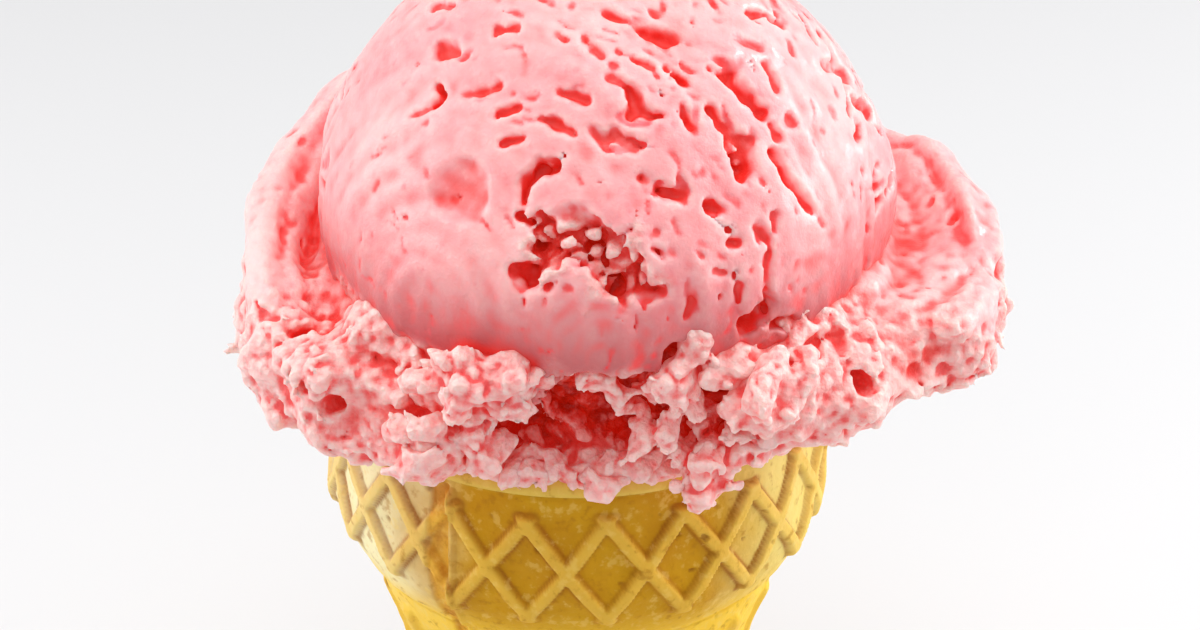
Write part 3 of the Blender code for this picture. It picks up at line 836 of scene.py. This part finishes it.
def strandField(p, fine):
    # distance from tapered round strands, melted together, roughened with crumbs
    nearest = np.full(len(p), wellOut, np.float32)
    q = p + wanderAt(p, 2.6, 0.62) + wanderAt(p, 1.1, 0.22) if fine else p
    for row in strands:
        a, b = onScoop(*row[:3]), onScoop(*row[4:7])
        length = b - a
        share = np.clip((q - a) @ length / (length @ length), 0, 1)
        away = np.linalg.norm(q - a - share[:, None] * length, axis=1)
        away = away - (row[3] + share * (row[7] - row[3]))
        nearest = blendMin(nearest, away.astype(np.float32), 0.7)
    if fine:
        big, small = crumbling(p, 2.5, 1.05)
        flaky = 0.35 * lookUp(soft, p, 1.5, 7.0) + 0.12 * lookUp(soft, p, 0.6, 3.0)
        nearest = nearest + 1.25 * (0.45 - big) + 0.6 * (0.5 - small) - flaky
        cup = np.maximum(np.hypot(p[:, 0], p[:, 1]) - frill["clear"], p[:, 2] - frill["shredSeat"])
        nearest = np.maximum(nearest, -cup)
    return nearest.astype(np.float32)


def occupancy(volumes, axes):
    # 1 in the small cubes of one grid over all the pieces that hold ice cream
    filled = np.zeros([len(rows) for rows in axes], np.float32)
    for volume, own in volumes:
        index = [np.interp(axes[a], own[a], np.arange(len(own[a])), -1, -1) for a in range(3)]
        index = [np.rint(rows).astype(int) for rows in index]
        okay = [np.flatnonzero(rows >= 0) for rows in index]
        part = volume[np.ix_(*[rows[spots] for rows, spots in zip(index, okay)])] < 0
        filled[np.ix_(*okay)] = np.maximum(filled[np.ix_(*okay)], part)
    return filled


def boxMean(values, reach):
    # mean over a cube, by running sums along each axis
    for axis in range(3):
        padded = np.concatenate([np.repeat(values.take([0], axis), reach + 1, axis), values,
                                 np.repeat(values.take([-1], axis), reach, axis)], axis)
        sums = np.cumsum(padded, axis, dtype=np.float64)
        n = values.shape[axis]
        high = sums.take(np.arange(2 * reach + 1, 2 * reach + 1 + n), axis)
        lowSum = sums.take(np.arange(0, n), axis)
        values = ((high - lowSum) / (2 * reach + 1)).astype(np.float32)
    return values


def sampled(values, axes, places):
    # grid value at each place, linear between neighbours
    columns = [np.interp(places[:, a], axes[a], np.arange(len(axes[a]))) for a in range(3)]
    place = np.clip(np.stack(columns, 1), 0, np.array(values.shape) - 1.001)
    whole = place.astype(int)
    t = place - whole
    total = 0
    for i in (0, 1):
        for j in (0, 1):
            for k in (0, 1):
                weight = abs(1 - i - t[:, 0]) * abs(1 - j - t[:, 1]) * abs(1 - k - t[:, 2])
                total = total + weight * values[whole[:, 0] + i, whole[:, 1] + j, whole[:, 2] + k]
    return total


def belowOutside(p):
    # mm below the outside that the ice cream had before it was torn
    degrees, out = aroundScoop(p)
    ball = np.hypot(out, p[:, 2] - scoop["centreZ"]) - scoop["radius"]
    return -np.minimum(ball, frillDistance(degrees, out, p[:, 2]) + 1.0)


def leftFrillField(p, fine):
    # distance from the half of the frill at the left of the parting
    return frillField(p, fine, -1)


def rightFrillField(p, fine):
    # distance from the half of the frill at the right of the parting
    return frillField(p, fine, 1)


# each piece's grid: places and the spacings there along x, y and z, in mm; how near its coarse zero it is
# worked out in full; the least share of points of a loose part that stays; and how far it is softened
grids = {
    "scoop_dome": {
        "x": [(-27.8, 0.40), (-16, 0.32), (24, 0.32), (33.5, 0.40)],
        "y": [(-30.4, 0.31), (0, 0.34), (8, 0.54), (30.4, 0.56)],
        "z": [(75.8, 0.46), (80, 0.33), (112, 0.33), (121.2, 0.38)],
        "band": 4.0, "smallest": 0.5, "soften": 0.14,
    },
    "cave_wall": {
        "x": [(-16.0, 0.36), (22.0, 0.36)],
        "y": [(-23.5, 0.36), (-13, 0.36), (-8, 0.9)],
        "z": [(70.4, 0.36), (90.6, 0.36)],
        "band": 4.0, "smallest": 0.5, "soften": 0.10,
    },
    "frill_left": {
        "x": [(-37.5, 0.36), (12.0, 0.33)],
        "y": [(-36.0, 0.33), (4, 0.36), (12, 0.6), (39, 0.6)],
        "z": [(70.6, 0.33), (98.5, 0.33)],
        "band": 4.0, "smallest": 0.5, "soften": 0.16,
    },
    "frill_right": {
        "x": [(-3.0, 0.33), (45.8, 0.36)],
        "y": [(-36.0, 0.33), (4, 0.36), (12, 0.6), (39, 0.6)],
        "z": [(70.6, 0.33), (98.5, 0.33)],
        "band": 4.0, "smallest": 0.5, "soften": 0.16,
    },
    "front_shreds": {
        "x": [(-20.0, 0.27), (24.0, 0.27)],
        "y": [(-35.0, 0.27), (-17.0, 0.27)],
        "z": [(68.0, 0.27), (95, 0.27)],
        "band": 2.0, "smallest": 0.04, "soften": 0.12,
    },
}

# the even grid over all the pieces that tells how hollow a place is: its ends in x, y and z, its spacing
hollows = {"ends": [(-39, 47), (-37, 41), (66, 122)], "spacing": 0.55}


def makeIceCream():
    # each field sampled and skinned, then every skin's points given what the colours need
    fields = {
        "scoop_dome": (domeField, tornOnDome),
        "cave_wall": (coreField, None),
        "frill_left": (leftFrillField, tornOnFrill),
        "frill_right": (rightFrillField, tornOnFrill),
        "front_shreds": (strandField, None),
    }
    made = []
    for name, (field, torn) in fields.items():
        grid = grids[name]
        axes = [axisRows(grid[letter]) for letter in "xyz"]
        volume = fieldVolume(field, axes, grid["band"], grid["soften"])
        places, quads = mainBody(*skinOf(volume, axes), grid["smallest"])
        print(name, volume.shape, len(quads) * 2, "triangles")
        made.append((name, torn, volume, axes, relaxed(places, quads, 1), quads))
    jointAxes = [np.arange(*ends, hollows["spacing"]) for ends in hollows["ends"]]
    filled = occupancy([row[2:4] for row in made], jointAxes)
    near, far = boxMean(boxMean(filled, 1), 1), boxMean(boxMean(filled, 4), 3)
    pieces = []
    for name, torn, volume, axes, places, quads in made:
        fold = boxMean(boxMean((volume < 0).astype(np.float32), 1), 1)
        # how folded, hollow and sunk each point is, from which the material paints shade
        attributes = {
            "fold": sampled(fold, axes, places),
            "nearHollow": sampled(near, jointAxes, places),
            "farHollow": sampled(far, jointAxes, places),
            "sunk": belowOutside(places),
            "torn": torn(places) if torn else np.ones(len(places)),
            "mark": np.zeros(len(places)),
            "low": np.zeros(len(places)),
        }
        if name == "scoop_dome":
            p = places.astype(np.float32)
            q = fromCentre(p)
            holes, dots = dragMarks(p, q, np.linalg.norm(q, axis=1))
            # the pits and dots, which the material paints darker as painted shade
            attributes["mark"] = np.clip(holes / 0.6 + dots * 0.6, 0, 1)
            # painted shade: how low on the ball a point is, which the material paints darker
            attributes["low"] = ease(9, -5, q[:, 2])
        pieces.append(meshPiece(name, places, quads, attributes))
        thinned(pieces[-1])
    return pieces


print("ice cream")
icePieces = makeIceCream()


# the wafer cup, in mm and degrees round; its outlines are points of radius and height, from the top down
wafer = {
    "within": [(0.0, 60.0), (18.0, 60.0), (21.5, 62.0), (21.6, 68.0)],
    "rim": [(21.9, 73.0), (22.2, 73.9), (22.8, 74.2), (23.6, 74.15), (24.4, 73.8), (25.1, 73.0),
            (25.35, 72.2), (25.3, 71.75), (24.9, 71.5)],
    "outside": [(24.95, 71.3), (25.05, 70.8), (25.3, 66.0), (25.4, 59.4), (24.9, 57.0), (24.0, 55.0),
                (23.1, 53.4), (22.1, 52.6), (21.3, 50.0), (20.3, 47.2), (19.3, 44.5), (18.3, 41.5),
                (17.6, 38.0), (16.1, 5.4), (16.7, 4.6), (16.7, 0.8), (15.9, 0.0)],
    "beneath": [(12.0, 0.0), (0.0, 0.0)],
    "columns": 600,
    "diamonds": 20,
    "turn": -2.2,
    "trellisLow": 57.3,
    "trellisHigh": 68.7,
    "trellisRadius": 25.2,
    "halfShift": 0.75,
    "ribRise": 0.75,
    "ribHalf": 0.78,
    "crossRise": 0.08,
    "seam": -29.3,
    "finRise": 0.42,
    "bandSink": 0.45,
    "stemRise": 0.55,
    "footTop": 5.4,
    "poreDepth": 0.25,
}


def waferRows():
    # the closed outline of the wall as points of radius and height, and 1 for the points outside
    side = np.array(wafer["outside"])
    heights = np.concatenate([
        np.arange(71.2, 52.0, -0.2),
        np.arange(52.0, 36.0, -0.5),
        np.linspace(36.0, 7.0, 8),
        [5.6, 5.2, 4.8, 4.4, 3.0, 1.2, 0.8, 0.4, 0.12, 0.0],
    ])
    radii = np.interp(-heights, -side[:, 1], side[:, 0])
    wall = np.stack([radii, heights], 1)
    before = wafer["within"] + wafer["rim"]
    profile = np.concatenate([before, wall, wafer["beneath"]])
    outside = np.zeros((len(profile), 1))
    outside[len(before):len(before) + len(wall)] = 1
    return profile, outside


def makeWafer():
    # a turned wall: radius from the outline, plus ribs, seam and bakery unevenness, over turn and height
    profile, outside = waferRows()
    columns = wafer["columns"]
    turn = np.linspace(-180, 180, columns, endpoint=False)[None, :]
    r, z = profile[:, :1], profile[:, 1:]
    fromSeam = (turn - wafer["seam"] + 180) % 360 - 180
    lifted = z - wafer["halfShift"] * (fromSeam < 0)  # the moulds of the two halves don't quite meet
    mid = 0.5 * (wafer["trellisLow"] + wafer["trellisHigh"])
    span = wafer["trellisHigh"] - wafer["trellisLow"]
    u = (turn - wafer["turn"]) * wafer["diamonds"] / 360
    v = (lifted - mid) / span
    pitch = 2 * math.pi * wafer["trellisRadius"] / wafer["diamonds"]
    slant = span / math.hypot(span, pitch)
    beyond = np.maximum(0, (np.abs(v) - 0.5) * span)
    half = wafer["ribHalf"]
    aways = [np.hypot(np.abs(((u - lean * v + 0.5) % 1) - 0.5) * pitch * slant, beyond) for lean in (-1, 1)]
    ribs = [1 - ease(half * 0.62, half * 1.12, away) for away in aways]
    rib = np.maximum(*ribs)
    # a line along each rib's foot, which the material paints dark brown as painted shade
    creases = [1 - ease(0.0, 0.34, np.abs(away - half * 1.1)) for away in aways]
    trough = np.maximum(*creases) * (1 - rib ** 2)
    fin = 1 - ease(0.35, 0.9, np.abs(fromSeam))
    band = ease(-6.2, -5.7, fromSeam) * (1 - ease(-1.1, -0.7, fromSeam))
    stemRib = 1 - ease(0.45, 1.0, np.abs(((u + 0.5) % 1) - 0.5) * 2 * math.pi * r / wafer["diamonds"])
    stemRib = stemRib * ease(5.8, 7.0, z) * (1 - ease(48.6, 49.8, z))
    aboveFoot = z > wafer["footTop"]
    radius = r + outside * (
        wafer["ribRise"] * rib
        + wafer["crossRise"] * (ribs[0] * ribs[1])
        + wafer["stemRise"] * stemRib
        + wafer["finRise"] * fin * aboveFoot * (z < 70.6)
        - wafer["bandSink"] * band * aboveFoot * (z < 71.0)
    )
    radius = np.maximum(radius, 0)
    angle = np.radians(turn)
    places = np.stack([radius * np.sin(angle), -radius * np.cos(angle), z + 0 * angle], -1)
    places = places.reshape(-1, 3).astype(np.float32)
    uneven = 0.10 * lookUp(soft, places, 4.5) + 0.035 * lookUp(soft, places, 0.9, 3.0)
    pores = ease(2.2, 3.0, lookUp(soft, places, 0.75, 9.0)) * wafer["poreDepth"]
    wide = np.broadcast_to(outside, radius.shape).reshape(-1)
    push = (wide * (uneven - pores))[:, None]
    flatOut = places * np.float32([1, 1, 0])
    length = np.maximum(np.linalg.norm(flatOut, axis=1, keepdims=True), 1e-6)
    places = places + flatOut / length * push * (places[:, 2:] > 0.3)
    index = np.arange(radius.size).reshape(radius.shape)
    right = np.roll(index, -1, axis=1)
    quads = np.stack([index[:-1], index[1:], right[1:], right[:-1]], -1).reshape(-1, 4)
    attributes = {
        "rib": np.maximum(rib, stemRib) * outside,
        "trough": trough * outside,
        "seamBand": band * outside,
        "lip": (z > 71.6) * 1.0,
    }
    attributes = {key: np.broadcast_to(value, radius.shape).reshape(-1) for key, value in attributes.items()}
    attributes["pore"] = pores * wide / wafer["poreDepth"]
    return meshPiece("wafer", places, quads, attributes)


print("wafer")
waferPiece = makeWafer()


class Wire:  # a node's output that sums and products can be written with
    def __init__(self, graph, socket):
        self.graph, self.socket = graph, socket

    def __add__(self, other):
        return self.graph.sum("ADD", self, other)

    def __radd__(self, other):
        return self.graph.sum("ADD", other, self)

    def __sub__(self, other):
        return self.graph.sum("SUBTRACT", self, other)

    def __rsub__(self, other):
        return self.graph.sum("SUBTRACT", other, self)

    def __mul__(self, other):
        return self.graph.sum("MULTIPLY", self, other)

    def __rmul__(self, other):
        return self.graph.sum("MULTIPLY", other, self)


class Graph:  # one material and its nodes
    def __init__(self, name):
        self.material = bpy.data.materials.new(name)
        self.material.use_nodes = True
        self.tree = self.material.node_tree
        self.shader = self.tree.nodes["Principled BSDF"]

    def feed(self, socket, value):
        # a wire is linked to the socket, and a plain value becomes the socket's own
        if isinstance(value, Wire):
            self.tree.links.new(value.socket, socket)
        else:
            socket.default_value = value

    def node(self, kind, settings, sockets, output=0):
        # settings go first, then each socket's value or wire
        made = self.tree.nodes.new(kind)
        for key, value in settings.items():
            setattr(made, key, value)
        for key, value in sockets.items():
            self.feed(made.inputs[key], value)
        return Wire(self, made.outputs[output])

    def sum(self, operation, a, b):
        # one arithmetic step between two values
        return self.node("ShaderNodeMath", {"operation": operation}, {0: a, 1: b})

    def between(self, value, low, high):
        # 0 below low, 1 above high, eased between
        return self.node("ShaderNodeMapRange", {"interpolation_type": "SMOOTHSTEP"},
                         {0: value, 1: low, 2: high, 3: 0.0, 4: 1.0})

    def mix(self, share, a, b):
        # colour a where share is 0, b where it is 1
        return self.node("ShaderNodeMix", {"data_type": "RGBA"}, {0: share, 6: a, 7: b}, 2)

    def place(self):
        # the point on the piece, in metres
        return self.node("ShaderNodeTexCoord", {}, {}, 3)

    def along(self, axis):
        # one of that point's x, y and z
        return self.node("ShaderNodeSeparateXYZ", {}, {"Vector": self.place()}, axis)

    def noise(self, scale, detail):
        # 0 to 1, mostly near 0.5, in blots about 1 / scale metres wide
        return self.node("ShaderNodeTexNoise", {}, {
            "Vector": self.place(), "Scale": scale, "Detail": detail, "Roughness": 0.55})

    def attribute(self, name):
        # what the mesh holds under this name at each point
        return self.node("ShaderNodeAttribute", {"attribute_name": name}, {}, 2)

    def bump(self, height, strength, distance):
        # a normal tilted by the slope of height
        return self.node("ShaderNodeBump", {}, {"Height": height, "Strength": strength, "Distance": distance})

    def settle(self, **values):
        # constant values of the shader's own sockets, named without their spaces
        for key, value in values.items():
            self.shader.inputs[key.replace("_", " ")].default_value = value


def rgb(red, green, blue):
    # screen colour 0 to 255 to the linear colour of a socket
    def one(value):
        value = value / 255
        return value / 12.92 if value <= 0.04045 else ((value + 0.055) / 1.055) ** 2.4
    return (one(red), one(green), one(blue), 1.0)


# the ice cream's colours, from its skin down to the painted red shade of its deepest hollows, with painted
# light on crests and the left edge and a painted glow
iceColours = {
    "skin": rgb(251, 190, 190),
    "duskySkin": rgb(247, 168, 172),
    "tornFace": rgb(255, 196, 188),
    "crestLight": rgb(255, 226, 220),
    "lowerBallShade": rgb(176, 58, 66),
    "litLeftEdge": rgb(255, 222, 218),
    "speck": rgb(236, 112, 122),
    "pit": rgb(232, 84, 98),
    "creviceShade": rgb(248, 74, 76),
    "hollow": rgb(240, 66, 60),
    "under": rgb(236, 50, 42),
    "deepShade": rgb(224, 44, 28),
    "darkerDeepShade": rgb(166, 8, 3),
    "paintedGlow": (0.36, 0.03, 0.02, 1),
    "paintedDeepGlow": (0.50, 0.010, 0.0, 1),
}


def iceCreamMaterial():
    # pale skin, crests painted paler as painted light, and painted shade that reddens with every kind of
    # depth: creases, hollows and mm under the outside
    g = Graph("strawberry ice cream")
    c = iceColours
    fold, near, far = g.attribute("fold"), g.attribute("nearHollow"), g.attribute("farHollow")
    torn, sunk, mark, low = g.attribute("torn"), g.attribute("sunk"), g.attribute("mark"), g.attribute("low")
    mottle, blotch, grit = g.noise(260, 4), g.noise(70, 3), g.noise(1500, 3)
    crystal = g.node("ShaderNodeTexVoronoi", {"feature": "F1"},
                     {"Vector": g.place(), "Scale": 1100.0, "Randomness": 1.0})
    side = g.along(0)
    # masks of painted shade: creases, hollows and depth under the outside
    creviceShade = g.between(fold + (grit - 0.5) * 0.16 * torn, 0.47, 0.62)
    hollow = g.between(near + far * 1.2 + (mottle - 0.5) * 0.12, 1.16, 1.60)
    # painted light: crests painted paler, as if lit through at their thin edges
    crestLight = 1 - g.between(fold + (grit - 0.5) * 0.20, 0.36, 0.50)
    under = g.between(sunk + (mottle - 0.5) * 0.9, 0.6, 1.8)
    deep = g.between(sunk + (blotch - 0.5) * 2.4, 1.6, 4.6)
    speck = g.between(g.noise(820, 1), 0.60, 0.68) * g.between(blotch, 0.36, 0.6)
    # painted shade: dark red, darker in blots, for the deepest places
    deepShade = g.mix(g.between(g.noise(560, 3), 0.38, 0.62), c["deepShade"], c["darkerDeepShade"])
    colour = g.mix(g.between(blotch, 0.35, 0.7), c["skin"], c["duskySkin"])
    # each later layer lies over the ones before it
    layers = [
        (torn * 0.6, c["tornFace"]),
        # painted light: the crests painted pale pink-white
        (crestLight * (0.35 + torn * 0.35), c["crestLight"]),
        # painted shade: the ball's lower part painted darker mauve-red
        (low * (0.72 + blotch * 0.5) * (1 - torn * 0.5), c["lowerBallShade"]),
        # painted light: the left edge painted paler, where the left lamp falls
        (g.between(side, -0.024, -0.032) * 0.45, c["litLeftEdge"]),
        (speck * (0.14 + torn * 0.14), c["speck"]),
        # painted shade: the drag-mark pits and dots painted darker pink
        (mark * (0.55 + mottle * 0.3), c["pit"]),
        # painted shade: creases, hollows and depth under the outside painted red, the deepest darkest
        (creviceShade * 0.85, c["creviceShade"]),
        (hollow * 0.8, c["hollow"]),
        (under * (1 - crestLight * 0.55) * 0.9, c["under"]),
        (deep * (1 - crestLight * 0.35), deepShade),
    ]
    for share, over in layers:
        colour = g.mix(share, colour, over)
    wet = g.between(g.noise(330, 2), 0.50, 0.62) * (1 - torn) * (1 - g.between(sunk, 0.2, 0.8))
    grain = (grit * 0.7 + g.noise(3200, 2) * 0.3) * (0.3 + torn * 0.7) + crystal * torn * 0.9
    g.feed(g.shader.inputs["Base Color"], colour)
    # painted glow: the ice cream glows red, more where it lies deeper under its outside, for light scattered
    # through it
    g.feed(g.shader.inputs["Emission Color"], g.mix(g.between(sunk, 1.0, 4.0), c["paintedGlow"], c["paintedDeepGlow"]))
    g.feed(g.shader.inputs["Roughness"], 0.34 + g.between(mottle, 0.3, 0.7) * 0.16)
    g.feed(g.shader.inputs["Normal"], g.bump(grain, 0.6, 0.0008))
    g.feed(g.shader.inputs["Coat Weight"], wet * g.between(side, 0.006, 0.016) * 0.9)
    g.settle(Emission_Strength=0.22, Coat_Roughness=0.12, Specular_IOR_Level=0.35, Subsurface_Weight=0.6,
             Subsurface_Radius=(1.0, 0.30, 0.25), Subsurface_Scale=0.0014)
    return g.material


# the wafer's colours: browner in the middle and paler at both sides, partly as baked and partly as painted
# light from the side lamps, with painted shade at the ribs' feet and a brighter stem as painted light
waferColours = {
    "crust": rgb(214, 160, 10),
    "darkCrust": rgb(198, 138, 2),
    "left": rgb(255, 246, 196),
    "right": rgb(255, 238, 144),
    "stem": rgb(255, 208, 60),
    "rib": rgb(240, 194, 76),
    "lip": rgb(238, 204, 96),
    "trough": rgb(170, 96, 6),
    "band": rgb(240, 180, 54),
    "darkBand": rgb(206, 132, 20),
    "brownFleck": rgb(176, 114, 10),
    "paleFleck": rgb(246, 210, 110),
    "pore": rgb(150, 88, 18),
}


def waferMaterial():
    # dull baked crust, its edges of light and dark pushed about by a noise
    g = Graph("baked wafer")
    c = waferColours
    blotch, fine = g.noise(90, 4), g.noise(700, 4)
    band = g.mix(g.between(g.noise(400, 4), 0.4, 0.62), c["band"], c["darkBand"])
    across = g.along(0) + (blotch - 0.5) * 0.012
    colour = g.mix(g.between(blotch, 0.3, 0.72), c["crust"], c["darkCrust"])
    layers = [
        # painted light: paler at the left and the right where the side lamps fall, partly as baked
        (g.between(across, -0.010, -0.022) * 0.95, c["left"]),
        (g.between(across, 0.012, 0.024) * 0.8, c["right"]),
        # painted light: the stem below the cup painted brighter yellow, against the shade there
        (g.between(g.along(2), 0.058, 0.051) * 0.9, c["stem"]),
        (g.attribute("rib") * 0.65, c["rib"]),
        (g.attribute("lip") * 0.8, c["lip"]),
        # painted shade: dark brown along each rib's foot
        (g.attribute("trough") * (0.35 + g.between(blotch, 0.4, 0.6) * 0.5), c["trough"]),
        # the seam's groove, orange and darker in blots: partly baked colour and partly painted shade in the
        # groove
        (g.attribute("seamBand") * 0.8, band),
        (g.between(fine, 0.55, 0.72) * 0.55, c["brownFleck"]),
        (g.between(fine, 0.46, 0.34) * 0.35, c["paleFleck"]),
        (g.attribute("pore") * 0.7, c["pore"]),
    ]
    for share, over in layers:
        colour = g.mix(share, colour, over)
    g.feed(g.shader.inputs["Base Color"], colour)
    g.feed(g.shader.inputs["Roughness"], 0.55 + g.between(fine, 0.3, 0.7) * 0.15)
    g.feed(g.shader.inputs["Normal"], g.bump(fine * 0.6 + g.noise(1800, 3) * 0.4, 0.5, 0.0005))
    g.settle(Specular_IOR_Level=0.2, Subsurface_Weight=0.12, Subsurface_Radius=(1.0, 0.55, 0.2),
             Subsurface_Scale=0.0016)
    return g.material


print("materials")
iceMaterial = iceCreamMaterial()
for piece in icePieces:
    piece.data.materials.append(iceMaterial)
    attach(piece, "root")
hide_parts("ice_cream")
waferPiece.data.materials.append(waferMaterial())
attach(waferPiece, "root")
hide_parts("wafer_cone")


# what the object is seen by: places and sizes in mm, lamps as place, size and watts
studio = {
    "camera": (2.311, -311.293, 257.447),
    "lookDown": 30.0,
    "lens": 105.0,
    "film": 36.0,
    "world": 0.42,
    "lamps": [
        ((-420, 40, 240), (420, 420), 1.35),
        ((420, 60, 240), (420, 420), 1.7),
        ((0, -40, 620), (460, 420), 1.65),
        ((-60, -420, 420), (300, 300), 0.26),
        ((436, 203, 453), (60, 110), 0.40),
    ],
    "aim": (0, 0, 85),
    "floorHalf": 4000,
    "floorColour": (0.62, 0.62, 0.63, 1),
    "floorGlow": 0.12,
}


def makeWorld(scene):
    # even white light from all round
    scene.view_settings.view_transform = "Standard"
    scene.world = bpy.data.worlds.new("studio")
    scene.world.use_nodes = True
    background = scene.world.node_tree.nodes["Background"]
    background.inputs["Color"].default_value = (1, 1, 1, 1)
    background.inputs["Strength"].default_value = studio["world"]


def makeLamps(scene):
    # soft rectangular lamps, each turned to face the aim
    for number, (place, size, watts) in enumerate(studio["lamps"]):
        lamp = bpy.data.lights.new(f"softbox_{number}", "AREA")
        lamp.shape = "RECTANGLE"
        lamp.size, lamp.size_y = size[0] * mm, size[1] * mm
        lamp.energy = watts
        holder = bpy.data.objects.new(lamp.name, lamp)
        holder.location = Vector(place) * mm
        toAim = Vector(studio["aim"]) * mm - holder.location
        holder.rotation_euler = toAim.to_track_quat("-Z", "Y").to_euler()
        scene.collection.objects.link(holder)


def makeFloor(scene):
    # a plain pale sheet at the height that the object stands on
    half = studio["floorHalf"] * mm
    mesh = bpy.data.meshes.new("floor")
    corners = [(-half, -half, 0), (half, -half, 0), (half, half, 0), (-half, half, 0)]
    mesh.from_pydata(corners, [], [(0, 1, 2, 3)])
    floor = bpy.data.objects.new("floor", mesh)
    scene.collection.objects.link(floor)
    paint = Graph("pale floor")
    paint.settle(Base_Color=studio["floorColour"], Roughness=0.6, Emission_Color=(1, 1, 1, 1),
                 Emission_Strength=studio["floorGlow"])
    mesh.materials.append(paint.material)


def makeCamera(scene):
    # a long lens that looks down at the front
    camera = bpy.data.cameras.new("camera")
    camera.sensor_width = studio["film"]
    camera.lens = studio["lens"]
    camera.clip_start = 0.01
    eye = bpy.data.objects.new("camera", camera)
    eye.location = Vector(studio["camera"]) * mm
    eye.rotation_euler = (math.radians(90 - studio["lookDown"]), 0, 0)
    scene.collection.objects.link(eye)
    scene.camera = eye


print("studio")
makeWorld(bpy.context.scene)
makeLamps(bpy.context.scene)
makeFloor(bpy.context.scene)
makeCamera(bpy.context.scene)
